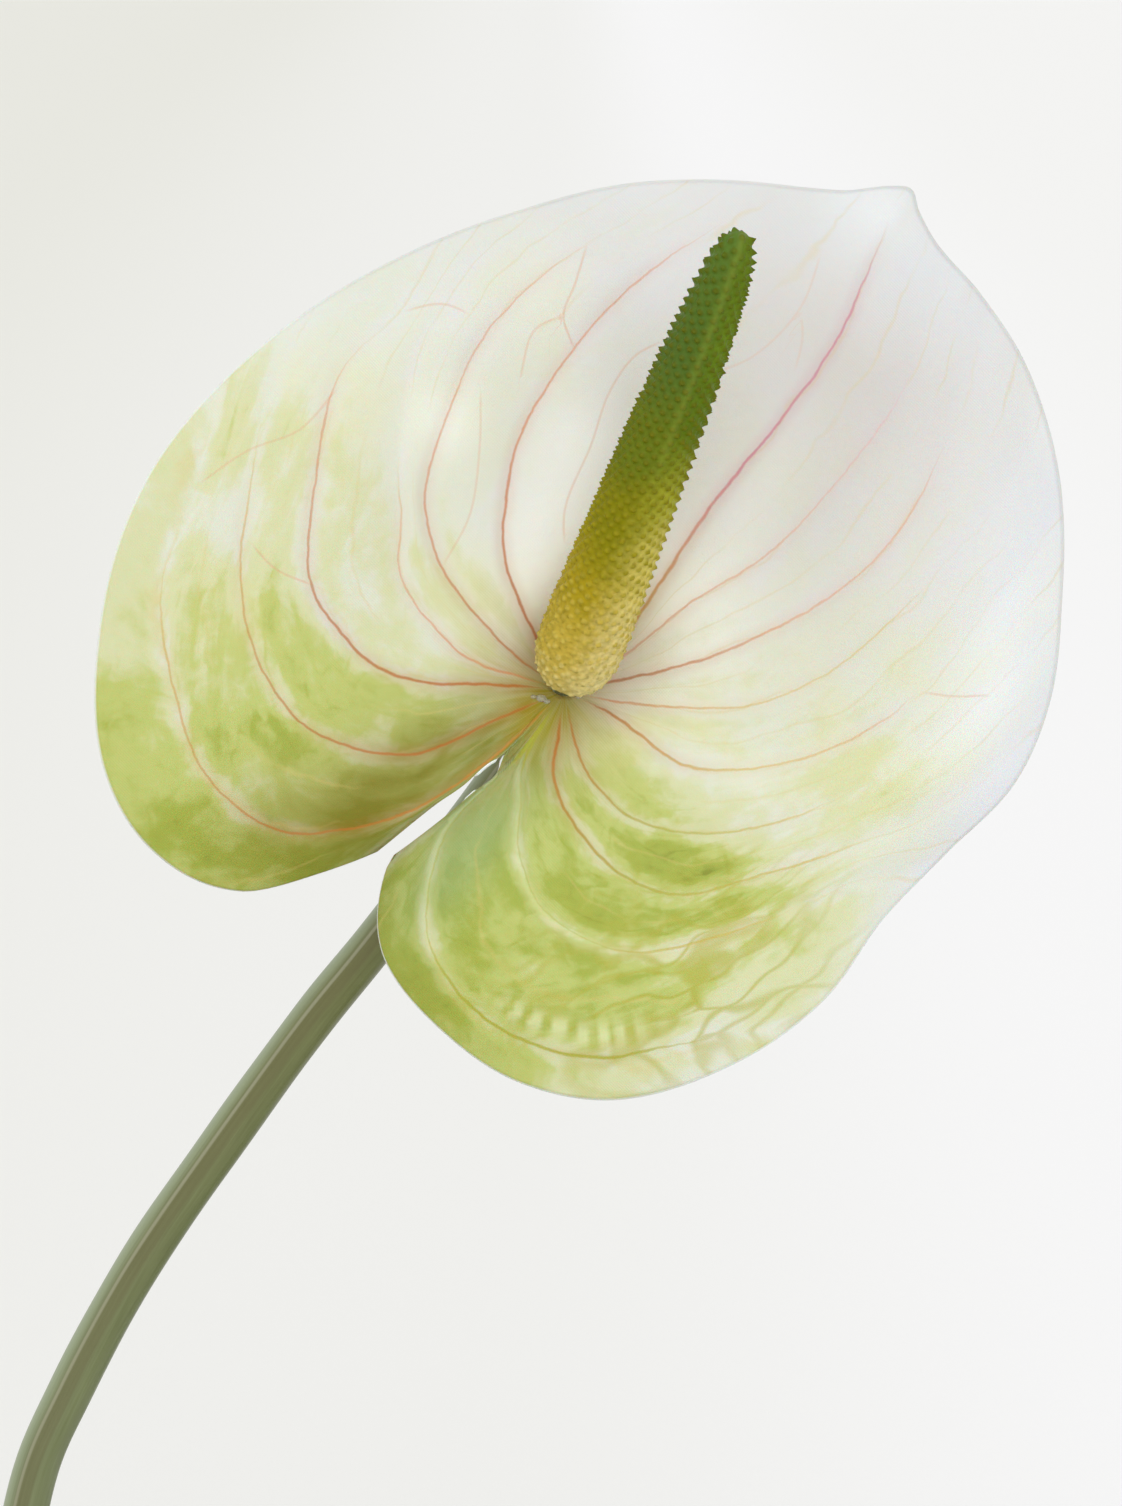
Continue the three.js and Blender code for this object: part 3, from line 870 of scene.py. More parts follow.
PATCHES = (
    *patches(
        Wash.GREEN,
        (0, -42, 78, 62, 0, 0.50), (-26, -46, 24, 12, 20, 0.28), (-45, -16, 9, 12, 0, 0.14),
        (-58, -10, 7, 14, 0, 0.10), (-50, 4, 10, 7, 0, 0.12), (-30, -28, 10, 5, 15, 0.26),
        (-26, -16, 14, 5, -8, 0.10), (24, -10, 22, 6, 8, 0.28), (22, -22, 18, 7, 12, 0.26),
        (24, -37, 14, 6, 10, 0.14), (31, -9, 8, 5, 10, 0.20), (15, -4, 9, 4, -10, 0.14),
        (6, -44, 12, 10, 0, 0.12), (36, -22, 9, 7, 45, 0.06), (-1, -29, 6, 9, 0, 0.16),
        (40, 12, 9, 4, 40, 0.16), (28, 4, 9, 5, 20, -0.08), (-16, 12, 9, 9, 0, -0.16),
        (-26, -6, 14, 5, -10, -0.08), (-8, 26, 14, 9, 0, -0.14), (34, -42, 10, 5, 30, -0.10),
        (31, -28, 6, 5, 0, 0.14), (-13, -12, 6, 4, 0, 0.10), (38, 23, 6, 8, 0, 0.14),
        (-57, 8, 6, 9, 0, 0.12), (-26, -37, 6, 10, 0, -0.14), (-34, -19, 5, 4, 0, 0.14),
        (-18, 4, 5, 3, 0, 0.14), (-50, -8, 4, 6, 0, -0.20), (-45, -37, 9, 6, 0, 0.20),
        (1, -38, 6, 5, 0, -0.12), (43, -24, 5, 6, 0, -0.14), (60, 2, 7, 30, 0, -0.26),
        (50, -38, 9, 10, 45, -0.26),
    ),
    *patches(
        Wash.YELLOW,
        (-50, 12, 12, 14, -10, 0.60), (-46, 25, 7, 7, 0, -0.30), (-44, -16, 8, 9, 0, 0.45),
        (-34, 34, 12, 20, -15, 0.30), (-12, 4, 12, 8, 0, 0.45), (30, 18, 20, 10, 45, 0.42),
        (9, 4, 12, 8, 0, 0.70), (6, 0, 6, 7, 0, 0.50), (42, 20, 8, 14, 0, 0.30),
    ),
    # painted reflection and shade: this cool wash stands for a bluish window reflection on the rolled-back
    # rim, greyer where the rim turns away
    *patches(
        Wash.RIM_REFLECTION,
        (-36, 62, 26, 8, -35, 0.40), (-60, 26, 6, 12, 20, 0.35), (0, 76, 26, 10, 0, 0.60),
        (48, 52, 14, 26, 25, 0.80), (56, 12, 5, 22, 0, 0.70),
    ),
    # partly print and partly painted shade: this olive wash darkens the pit round the spike's foot and the
    # lobes by the slit, and tints the lower lobe's rim
    *patches(
        Wash.OLIVE,
        (0, -7, 8, 8, 0, 0.60), (-1, 0, 8, 5, 0, 0.44), (-9, -20, 8, 16, -26, 0.86),
        (-12, -30, 7, 7, 0, 0.28), (-20, -38, 9, 10, -40, 0.50), (-5, -43, 5, 8, 0, 0.55),
        (6, -52, 12, 5, 15, 0.42), (5, -45, 6, 4, 0, 0.30),
    ),
    # painted shadow: this teal wash darkens the lobes along the slit, where shade falls
    *patches(
        Wash.SLIT_SHADOW,
        (1.5, -24, 4.5, 12, 0, 0.74), (-3, -22, 2.5, 12, 12, 0.50),
    ),
    # painted shade: this grey wash darkens the sheet right of the spike and towards the rolled top, where
    # shade falls
    *patches(
        Wash.PAINTED_SHADE,
        (14, 46, 20, 30, 0, 0.30), (-4, 60, 18, 12, -20, 0.24), (12, 59, 9, 7, 0, 0.14),
        (-34, 56, 16, 8, -35, 0.14),
    ),
    # painted light: this white wash lifts the shade round the foot of the spike and brightens the rim where
    # it catches the light
    *patches(
        Wash.PAINTED_LIGHT,
        (-12, 17, 9, 13, 0, 0.62), (7, 16, 9, 12, 0, 0.74), (-9, 10, 5, 5, 0, 0.60),
        (6, 2, 4, 5, 0, 0.40), (25, 4, 8, 3, 20, 0.10), (6, 36, 4, 14, 0, 0.25),
        (-18, 29, 5, 6, 0, 0.30), (-34, 20, 5, 5, 0, 0.35), (47, 40, 6, 20, 8, 0.40),
        (36, 68, 9, 5, -25, 0.40), (-2, 78, 9, 5, 0, 0.50),
    ),
)


@dataclass
class Spathe:
    """The heart-shaped sheet: a grid laid round to its outline, slit, dished and printed."""

    rings: int = 84
    columns: int = 440
    thickness: float = 0.45
    seam: float = -173.0
    outline: tuple[tuple[float, float], ...] = (
        (-166, 33), (-162, 41), (-157, 51.5), (-147, 59.5), (-135, 63), (-118, 63), (-98, 62.6),
        (-77, 61.4), (-58, 62.3), (-42, 64.8), (-27, 69.3), (-14, 73.6), (-6, 77.6), (-2, 81.8),
        (-0.3, 82.9), (1.5, 81), (5, 78.9), (11, 77.8), (20, 76.2), (31, 73), (44, 68.4), (57, 65.3),
        (67, 61.8), (78, 56), (91, 52.7), (105, 54.2), (120, 55.1), (138, 55.7), (152, 53.3), (165, 49),
        (178, 44.4), (184, 40.6), (190, 34.5), (191.5, 32), (194, 33),
    )
    slit_left: tuple[tuple[float, float], ...] = (
        (0, -173.3), (10.3, -173.3), (13.3, -169.6), (17.7, -168.6), (22.9, -166.6), (33.2, -165.7),
    )
    slit_right: tuple[tuple[float, float], ...] = (
        (0, 186.7), (10.3, 186.7), (13.4, 183.4), (17.2, 186.3), (21.5, 188.0), (26.4, 189.6), (32, 191.1),
    )
    hole: tuple[float, float] = (2.2, 2.2)
    hole_shift: float = 1.4
    grain: float = 9.0
    pit: float = 8.0
    bowl: float = 4.5
    rolled_rim: float = 6.5
    lobe_drop: float = 5.5
    valley: float = 4.5
    tip_drop: float = 3.5
    groove: float = 0.22
    ridge: float = 0.75
    pucker: float = 0.2
    pucker_pitch: float = 3.3
    values: dict[str, Array] = field(default_factory=dict)

    def radius(self, degrees: Array) -> Array:
        """The outline's radius at angles clockwise from the midrib."""
        return through(self.outline, degrees)

    def flat_sheet(self) -> bmesh.types.BMesh:
        """The sheet laid flat: its rim on the outline, its seam on the slit, and a hole at its middle.

        Returns:
            The mesh, in the plane of X and Y.
        """
        bm, turn, share = sheet_blank(self.columns, self.rings)
        fine = np.linspace(0, 1, 2001)
        crowding = 1 + 1.6 * bell(turn_from(self.seam + 360 * fine, 0), 9)
        spread = np.concatenate([[0], np.cumsum((crowding[1:] + crowding[:-1]) / 2)])
        turn = np.interp(turn, spread / spread[-1], fine)
        degrees = self.seam + 360 * turn
        for _ in range(8):
            reach = share * self.radius(degrees)
            left, right = through(self.slit_left, reach), through(self.slit_right, reach)
            degrees = left + (right - left) * turn
        angle = np.radians(degrees)
        view = angle + math.radians(MIDRIB_LEAN)
        across, up = self.hole
        hole = across * up / np.hypot(up * np.sin(view), across * np.cos(view))
        rim = self.radius(degrees)
        reach = hole + (rim - hole) * share
        lean = math.radians(MIDRIB_LEAN)
        shift = self.hole_shift * (1 - share) ** 3
        x = reach * np.sin(angle) - shift * math.sin(lean)
        y = reach * np.cos(angle) + shift * math.cos(lean)
        move_to(bm, np.column_stack([x, y, np.zeros_like(x)]))
        bmesh.ops.remove_doubles(bm, verts=bm.verts, dist=SHEET_WELD)
        return bm

    def around(self, flat: Array) -> tuple[Array, Array]:
        """Angle from the midrib and share of the outline's radius, for points of the flat sheet.

        Args:
            flat: points of the flat sheet.

        Returns:
            The angles in degrees, and the shares from 0 to 1.
        """
        reach = np.hypot(flat[:, 0], flat[:, 1])
        degrees = np.degrees(np.arctan2(flat[:, 0], flat[:, 1]))
        split = (through(self.slit_left, reach) + through(self.slit_right, reach) - 360) / 2
        degrees = np.where(degrees < split, degrees + 360, degrees)
        return degrees, np.clip(reach / self.radius(degrees), 0, 1)

    def dish(self, flat: Array) -> Array:
        """How far each point stands out of the bloom's plane, before the fine relief.

        Args:
            flat: points of the flat sheet.

        Returns:
            The heights in millimetres.
        """
        x, y = flat[:, 0], flat[:, 1]
        degrees, share = self.around(flat)
        turn = turn_from(degrees, 0)
        away = np.abs(turn)
        pit = -self.pit * bell(np.hypot(x, y - 6), 9.5)
        bowl = self.bowl * np.sin(np.minimum(share / 0.8, 1) * math.pi / 2) ** 2 + 3 * (x / 60) ** 2
        rolled = self.rolled_rim * (1 - smooth(np.abs(turn - 12), 55, 105))
        roll = -rolled * np.clip((share - 0.76) / 0.24, 0, 1) ** 2
        lobes = -self.lobe_drop * np.clip((share - 0.45) / 0.55, 0, 1) ** 2 * smooth(away, 95, 150)
        valley = -self.valley * bell(turn_from(turn, -172), 20) * smooth(np.hypot(x, y), 6, 26)
        tip = -self.tip_drop * bell(turn, 9) * np.clip((share - 0.8) / 0.2, 0, 1) ** 2
        return pit + bowl + roll + lobes + valley + tip

    def read_veins(self, flat: Array) -> tuple[Array, Array]:
        """Measures the points against every vein, and stores what the print needs.

        Args:
            flat: points of the flat sheet.

        Returns:
            The number of the nearest vein and the signed distance to it.
        """
        points = flat[:, :2]
        lines = [smooth_line(vein.path, 1.6) for vein in VEINS]
        measured = [beside(points, line) for line in lines]
        signed = np.array([m[0] for m in measured])
        along = np.array([m[1] for m in measured])
        rows = np.arange(len(points))
        nearest = np.abs(signed).argmin(axis=0)
        own = signed[nearest, rows]
        other = np.clip(nearest + np.where(own > 0, 1, -1), 0, len(VEINS) - 1)
        beyond = np.abs(signed[other, rows])
        share = np.abs(own) / np.maximum(np.abs(own) + beyond, 1e-6)
        number = nearest + np.where(own > 0, share, -share)
        run = along[nearest, rows] * (1 - share) + along[other, rows] * share
        pairs = []
        for first in (0, 1):
            group = np.arange(first, len(VEINS), 2)
            pick = group[np.abs(signed[group]).argmin(axis=0)]
            pairs.append(signed[pick, rows])
        self.values["vein"] = np.column_stack([number, *pairs])
        self.values["flow"] = np.column_stack([number * self.grain, run, np.zeros_like(run)]) * MM
        self.values["ink"] = self.ink(nearest, along[nearest, rows])
        return nearest, own

    def ink(self, nearest: Array, run: Array) -> Array:
        """The colour and strength of the nearest vein, fading to its end.

        Args:
            nearest: the number of each point's vein.
            run: how far along that vein the point lies.

        Returns:
            One row (red, green, blue, strength) for each point.
        """
        inks = np.zeros((len(run), 4))
        for k, vein in enumerate(VEINS):
            here = nearest == k
            part = run[here] / max(vein.drawn, 1)
            stops = np.array([tint(ink.value)[:3] for ink in vein.inks])
            for channel in range(3):
                inks[here, channel] = np.interp(part, (0.1, 0.5, 0.95), stops[:, channel])
            fade = 1 - smooth(part, 0.8, 1.0)
            thinned = 1 - 0.35 * smooth(part, 0.2, 0.7)
            inks[here, 3] = vein.strength * fade * smooth(run[here], 2, 7) * thinned
        return inks

    def read_branches(self, flat: Array) -> None:
        """Stores the distance to the nearest cross vein, and how strongly it shows there.

        Args:
            flat: points of the flat sheet.
        """
        best = np.full(len(flat), 99.0)
        mask = np.zeros(len(flat))
        for branch in BRANCHES:
            signed, along = beside(flat[:, :2], smooth_line(branch.path, 1.0))
            ends = smooth(along, 0, 2) * (1 - smooth(along, branch.drawn - 2, branch.drawn))
            near = np.abs(signed) < np.abs(best)
            mask = np.where(near, branch.strength * ends * (np.abs(signed) < 3.5), mask)
            best = np.where(near, signed, best)
        self.values["branch"] = np.column_stack([np.clip(best, -4, 4), mask, self.net(flat)])

    def net(self, flat: Array) -> Array:
        """Where the fine net of olive lines shows, in the lower right."""
        spots = ((33, -29, 14, 1.0), (42, -14, 12, 0.7), (18, -36, 7, 0.4))
        return sum(s * bell(np.hypot(flat[:, 0] - x, flat[:, 1] - y), r) for x, y, r, s in spots)

    def read_washes(self, flat: Array) -> None:
        """Stores the strength of each wash.

        Args:
            flat: points of the flat sheet.
        """
        washes = np.zeros((len(flat), len(Wash)))
        for patch in PATCHES:
            dx, dy = flat[:, 0] - patch.middle[0], flat[:, 1] - patch.middle[1]
            c, s = math.cos(math.radians(patch.lean)), math.sin(math.radians(patch.lean))
            far = np.hypot((dx * c + dy * s) / patch.half[0], (dy * c - dx * s) / patch.half[1])
            channel = patch.wash.value
            washes[:, channel] += patch.strength * bell(far, 1.0)
        washes = np.clip(washes, 0, 1.2)
        # the first attribute holds green and yellow print, the cool painted reflection and the olive, which
        # is partly painted shade; the second holds only painted light and shade: the teal shadow, the grey
        # shade and the white light
        self.values["wash"] = washes[:, :4]
        self.values["light_and_shade"] = washes[:, 4:]

    def pleats(self, flat: Array) -> Array:
        """The small square puckers that stand in a row above the lowest vein.

        Args:
            flat: points of the flat sheet.

        Returns:
            How much each point stands on a pucker, from 0 to 1.
        """
        below, run = beside(flat[:, :2], smooth_line(VEINS[-2].path, 1.0))
        row = bell(np.abs(below) - 3.0, 1.7) * (below < 0) * smooth(run, 50, 58) * (1 - smooth(run, 72, 82))
        uneven_run = run + 0.5 * np.sin(run / 2.9)
        return row * smooth(np.sin(uneven_run * 2 * math.pi / self.pucker_pitch), -0.7, 0.3)

    def ridges(self, nearest: Array, own: Array) -> Array:
        """How much each point stands on a moulded ridge.

        Args:
            nearest: the number of each point's vein.
            own: the signed distance to it.

        Returns:
            From 0 to 1.
        """
        raised = np.array([vein.kind is VeinKind.RAISED for vein in VEINS])[nearest]
        run = self.values["flow"][:, 1] / MM
        return raised * bell(own - 0.3, 0.9) * smooth(run, 8, 14) * (1 - smooth(run, 38, 52))

    def relief(self, flat: Array, nearest: Array, own: Array) -> Array:
        """The fine relief: grooves, two moulded ridges, puckers and a slack surface.

        Args:
            flat: points of the flat sheet.
            nearest: the number of each point's vein.
            own: the signed distance to it.

        Returns:
            The heights in millimetres.
        """
        x, y = flat[:, 0], flat[:, 1]
        degrees, share = self.around(flat)
        strength = self.values["ink"][:, 3]
        kinds = np.array([vein.kind is VeinKind.RAISED for vein in VEINS])[nearest]
        groove = -self.groove * strength * bell(own, 0.9) * ~kinds
        ridge = self.ridge * self.ridges(nearest, own)
        slack = 0.45 * np.sin(x / 9 + 1.3 * np.sin(y / 14)) * np.sin(y / 11 + 0.7)
        slack += 0.18 * np.sin(x / 3.7 + y / 5.1)
        pillow = 0.35 * np.sin(np.mod(self.values["vein"][:, 0], 1) * math.pi)
        puckers = self.pucker * self.pleats(flat)
        calm = smooth(share, 0.12, 0.3)
        off_tip = smooth(np.abs(turn_from(degrees, 0)), 20, 50)
        rim = smooth(share, 0.9, 1.0) * 0.3 * np.sin(np.radians(degrees) * 13) * off_tip
        return (groove + ridge + slack + pillow + puckers) * calm + rim

    def build(self, finishes: Sequence[bpy.types.Material]) -> None:
        """Builds and dresses the sheet.

        Args:
            finishes: its face, and its back and edge.
        """
        bm = self.flat_sheet()
        flat = coordinates(bm)
        nearest, own = self.read_veins(flat)
        self.read_branches(flat)
        self.read_washes(flat)
        # painted highlight: pale on the moulded ridges and the puckers, where they catch the light; the
        # stored attribute also carries the edge mask
        painted_highlight = np.maximum(self.ridges(nearest, own), 2.4 * self.pleats(flat))
        self.values["ink"][:, 3] *= 1 - 0.9 * self.ridges(nearest, own)
        edge = smooth(self.around(flat)[1], 0.985, 1.0)
        self.values["painted_highlight"] = np.column_stack([painted_highlight, edge, edge])
        depth = self.dish(flat) + self.relief(flat, nearest, own) + self.thickness / 2
        move_to(bm, SPATHE_FRAME.outward(np.column_stack([flat[:, :2], depth])))
        sheet = make_piece("spathe_sheet", bm, finishes, ["spathe"], self.values)
        give_wall(sheet, self.thickness)


@dataclass(frozen=True)
class SpatheFace:
    """The printed face: watery greens and yellows over white, with fine veins, and painted light and shade
    laid over the print.
    """

    roughness: float = 0.5
    vein_width: float = 0.18
    weave: float = 0.00042

    def line(self, s: Shader, distance: object, width: object) -> Socket:
        """A soft-edged line: 1 on the line and 0 beyond its width."""
        return s.step(s.math("DIVIDE", s.math("ABSOLUTE", distance), width), 1.5, 0.25)

    def vein_distance(self, s: Shader) -> tuple[Socket, Socket]:
        """The distance to the nearest vein, from the pair that is stored, and the vein's number.

        Args:
            s: the material that is being built.

        Returns:
            The signed distance and the number.
        """
        number, even, odd = s.stored("vein")
        half = s.math("FRACT", s.math("MULTIPLY_ADD", number, 0.5, 0.5))
        from_even = s.times(s.gap(half, 0.5), 2.0)
        is_even = s.math("LESS_THAN", from_even, 0.5)
        chosen = s.math("ADD", s.times(even, is_even), s.times(odd, s.math("SUBTRACT", 1.0, is_even)))
        wobble = s.wander(330, 0.7)
        return s.math("ADD", chosen, wobble), number

    def ground(self, s: Shader, distance: object) -> Socket:
        """The washes under the veins, broken up along the grain, with painted light and shade among them.

        Args:
            s: the material that is being built.
            distance: the distance to the nearest vein.

        Returns:
            The colour.
        """
        wash, light_and_shade = s.values("wash"), s.values("light_and_shade")
        parts, light_and_shade_parts = s.node("ShaderNodeSeparateColor"), s.node("ShaderNodeSeparateXYZ")
        s.put(parts.inputs[0], wash.outputs["Color"])
        s.put(light_and_shade_parts.inputs[0], light_and_shade.outputs["Vector"])
        green, yellow, rim_reflection = parts.outputs
        slit_shadow, grey, white = light_and_shade_parts.outputs
        along = s.node("ShaderNodeMapping")
        s.put(along.inputs["Vector"], s.values("flow").outputs["Vector"])
        along.inputs["Scale"].default_value = (1.0, 0.4, 1.0)
        streak = s.noise(along.outputs[0], 330, 4, 0.4)
        fine = s.noise(s.place(), 420, 4, 0.6)
        cloud = s.noise(s.place(), 80, 3, 0.6)
        mottle = s.math("MULTIPLY_ADD", fine, 0.5, s.times(cloud, 0.8))
        blot = s.math("ADD", streak, mottle)
        calm = s.step(s.stored("flow")[1], 0.003, 0.014)
        blot = s.times(s.math("SUBTRACT", blot, 1.15), calm)
        pale = s.step(s.math("ABSOLUTE", distance), 2.6, 0.2)
        lane = s.gap(s.noise(along.outputs[0], 210, 2, 0.3), 0.5)
        pool = s.step(lane, 0.05, 0.0)
        shade = s.math("MULTIPLY_ADD", blot, s.math("MULTIPLY_ADD", green, 0.72, 0.12), green)
        shade = s.math("MULTIPLY_ADD", pool, s.times(green, 0.1), shade)
        lift = s.times(pale, s.times(green, 0.38))
        shade = s.math("SUBTRACT", shade, lift, clamp=True)
        colour = s.ramp(shade, (0.0, "#d8dbda"), (0.15, "#d5dbcc"), (0.33, "#cbd3a7"), (0.54, "#b2c26e"),
                        (0.74, "#99ad45"), (1.0, "#7c8f2a"))
        drift = s.math("SUBTRACT", cloud, s.times(streak, 0.4))
        warm = s.times(yellow, s.step(drift, 0.1, 0.5))
        colour = s.mix(s.times(warm, 0.6, clamp=True), colour, tint("#dddda2"))
        # painted light: near white over the shade round the spike's foot and along the rolled rim
        painted_light_share = s.times(white, s.step(shade, 0.5, 0.15), clamp=True)
        colour = s.mix(painted_light_share, colour, tint("#fdfcf6"))
        # painted reflection: cool bluish white over the rolled-back rim, standing for reflected window light
        # and its shade
        rim_reflection_share = s.times(rim_reflection, s.step(s.noise(along.outputs[0], 120, 2), 0.25, 0.6), clamp=True)
        colour = s.mix(rim_reflection_share, colour, tint("#dee3ea"))
        # painted shade: grey laid over the sheet where shade falls right of the spike and near the top
        colour = s.mix(grey, colour, tint("#b9bbb7"))
        # painted shadow: teal green along the slit
        shaded = s.times(slit_shadow, s.math("MULTIPLY_ADD", cloud, 0.8, 0.5), clamp=True)
        colour = s.mix(shaded, colour, tint("#86a76c"))
        # olive that is partly print and partly painted shade in the pit and along the slit
        olive_shade_streaks = s.math("MULTIPLY_ADD", streak, 0.8, 0.55)
        olive_and_pit_shade = s.times(wash.outputs["Alpha"], olive_shade_streaks, clamp=True)
        return s.mix(olive_and_pit_shade, colour, s.mix(calm, tint("#949024"), tint("#737a17")))

    def material(self) -> bpy.types.Material:
        """Builds the finish.

        Returns:
            The material.
        """
        s = Shader("spathe_face", self.roughness, Subsurface_Weight=0.25, Subsurface_Scale=0.003,
                   Specular_IOR_Level=0.3)
        distance, number = self.vein_distance(s)
        colour = self.ground(s, distance)
        drift = s.math("MULTIPLY_ADD", s.noise(s.place(), 90, 3), 0.9, s.times(number, 2.0))
        lane = s.gap(s.math("FRACT", drift), 0.5)
        hair = s.times(s.step(lane, 0.07, 0.0), s.step(s.noise(s.place(), 70, 2), 0.4, 0.62))
        colour = s.mix(s.times(hair, 0.24), colour, tint("#cdbd70"))
        branch, branch_mask, net_mask = s.stored("branch")
        fade = s.step(s.noise(s.place(), 120), 0.25, 0.42)
        over, run, _ = s.stored("flow")
        bend = s.wander(70, 0.014, 1)
        sway = s.wander(90, 0.010, 1)
        meshes = s.vector(s.math("ADD", over, bend), s.math("MULTIPLY_ADD", run, 0.55, sway))
        net = s.times(s.step(s.cells(meshes, 210, True), 0.14, 0.01), s.times(net_mask, fade))
        colour = s.mix(s.times(net, 0.62), colour, tint("#a3aa38"))
        painted_highlight, edge, _ = s.stored("painted_highlight")
        # painted highlight: pale yellow-white on the ridges and puckers
        colour = s.mix(s.times(painted_highlight, 0.22), colour, tint("#e2eabf"))
        ink = s.values("ink")
        twig = s.times(self.line(s, branch, self.vein_width), branch_mask)
        strength = ink.outputs["Alpha"]
        width = s.math("MULTIPLY_ADD", strength, self.vein_width, 0.07)
        halo = s.step(s.math("ABSOLUTE", distance), 2.0, 0.1)
        glow = s.times(halo, s.times(strength, 0.22))
        colour = s.mix(glow, colour, ink.outputs["Color"])
        core = s.times(self.line(s, distance, width), s.math("POWER", strength, 0.7))
        colour = s.mix(s.times(twig, 0.8), colour, tint(Ink.BLUSH.value))
        colour = s.mix(s.times(core, 0.88), colour, ink.outputs["Color"])
        specks = s.step(s.cells(s.place(), 70, False), 0.028, 0.016)
        rare = s.times(specks, s.step(s.noise(s.place(), 40), 0.62, 0.66))
        colour = s.mix(rare, colour, tint("#6f6a4a"))
        colour = s.mix(s.times(s.step(edge, 0.55, 0.9), 0.8), colour, tint("#eef0ec"))
        x, _, z = s.split(s.place())
        warp = s.math("SINE", s.times(x, 2 * math.pi / self.weave))
        weft = s.math("SINE", s.times(z, 2 * math.pi / self.weave))
        s.raise_by(s.times(warp, weft), 0.00002, 0.5)
        s.raise_by(s.noise(s.place(), 500, 2), 0.00012, 0.6)
        return s.colour(colour)


@dataclass(frozen=True)
class SpatheBack:
    """The plain white back and cut edge of the sheet."""

    roughness: float = 0.7

    def material(self) -> bpy.types.Material:
        """Builds the finish.

        Returns:
            The material.
        """
        s = Shader("spathe_back", self.roughness, Subsurface_Weight=0.2, Subsurface_Scale=0.003)
        cloud = s.noise(s.place(), 60)
        s.raise_by(s.noise(s.place(), 1400, 2), 0.00008, 0.6)
        return s.colour(s.ramp(cloud, (0.3, "#f0f1ee"), (0.55, "#f6f7f5"), (0.8, "#f3f4f0")))


# ---------------------------------------------------------------- the spadix
@dataclass
class Spadix:
    """The tapering spike of small beads, on its own axis out of the bloom."""

    length: float = 73.6
    foot: tuple[float, float, float] = (-0.1, 0.6, -1.0)
    direction: tuple[float, float, float] = (22.9, 57.9, 40.0)
    pitch: float = 1.42
    bead_height: float = 0.66
    bead_width: float = 0.6
    seam_angle: float = 14.0
    seam_height: float = 0.28
    profile: tuple[tuple[float, float], ...] = (
        (0, 0), (2.7, 0.4), (4.6, 1.9), (5.8, 4.8), (6.1, 9), (5.9, 15), (5.6, 22), (5.25, 31), (4.9, 40),
        (4.5, 49), (4, 58), (3.4, 65.5), (2.8, 69.8), (2.1, 72.2), (1.1, 73.3), (0, 73.6),
    )

    def frame(self) -> Placement:
        """The spike's frame: X faces the viewer, Y points right and Z along the spike.

        Returns:
            The frame.
        """
        axis = np.array(self.direction) / np.linalg.norm(self.direction)
        facing = np.array([0, 0, 1]) - axis * axis[2]
        facing /= np.linalg.norm(facing)
        axes = np.array([facing, np.cross(axis, facing), axis])
        return Placement(BLOOM.outward([self.foot])[0], axes @ BLOOM.axes)

    def beads(self, run: Array, radius: Array) -> Array:
        """Places beads over the spike at an even spacing, each turned on by the golden angle.

        Args:
            run: distances along the spike.
            radius: its radius there.

        Returns:
            The beads' middles, one row each.
        """
        area = np.concatenate([[0], np.cumsum(np.diff(run) * math.pi * (radius[1:] + radius[:-1]))])
        count = round(area[-1] / (self.pitch**2 * HEX_PACKING))
        at = np.interp((np.arange(count) + 0.5) / count * area[-1], area, run)
        angle = np.radians(GOLDEN_ANGLE * np.arange(count))
        spread = 0.05 + 0.3 * (1 - smooth(at, 4, 20))
        loose = np.random.default_rng(SEED).normal(size=(count, 2)) * spread[:, None]
        at = at + loose[:, 0]
        size = np.interp(at, run, radius)
        angle = angle + loose[:, 1] / np.maximum(size, 1)
        return np.column_stack([size * np.cos(angle), size * np.sin(angle), at])

    def build(self, finish: bpy.types.Material) -> None:
        """Builds and dresses the spike.

        Args:
            finish: its material.
        """
        line = smooth_line(self.profile, 0.235)
        line[:, 0] = np.maximum(line[:, 0] - 0.3 * smooth(line[:, 0], 0, 2), 0)
        bm = turned_body(line, 184)
        places = coordinates(bm)
        normals = np.array([v.normal for v in bm.verts])
        beads = self.beads(line[:, 1], line[:, 0])
        nearest = nearest_rows(places, beads)
        gap = np.linalg.norm(places - beads[nearest], axis=1)
        run = places[:, 2]
        turn = np.degrees(np.arctan2(places[:, 1], places[:, 0]))
        from_seam = np.radians(turn_from(turn, self.seam_angle)) * np.hypot(places[:, 0], places[:, 1])
        seam = bell(from_seam, 0.5) * smooth(run, 34, 44)
        own = np.random.default_rng(SEED + 1).random(len(beads))[nearest]
        bead = np.clip(1 - gap / self.bead_width, 0, 1) ** 1.2
        grown = (0.5 + 0.4 * smooth(run, 6, 24) + 0.3 * smooth(run, 24, 46)) * (0.8 + 0.4 * own)
        grit = np.sin(places[:, 0] * 9 + own * 6) * np.sin(places[:, 2] * 8)
        rough = 0.12 * (1 - smooth(run, 8, 26)) * grit
        height = self.bead_height * bead * grown * (1 - 0.5 * seam) + self.seam_height * seam + rough
        move_to(bm, self.frame().outward(places + normals * height[:, None]))
        side = np.sin(np.radians(turn_from(turn, self.seam_angle)))
        values = {"bead": np.column_stack([bead, run / self.length, own]),
                  "side": np.column_stack([side, seam, np.cos(np.radians(turn))])}
        make_piece("spadix_beads", bm, [finish], ["spadix"], values)


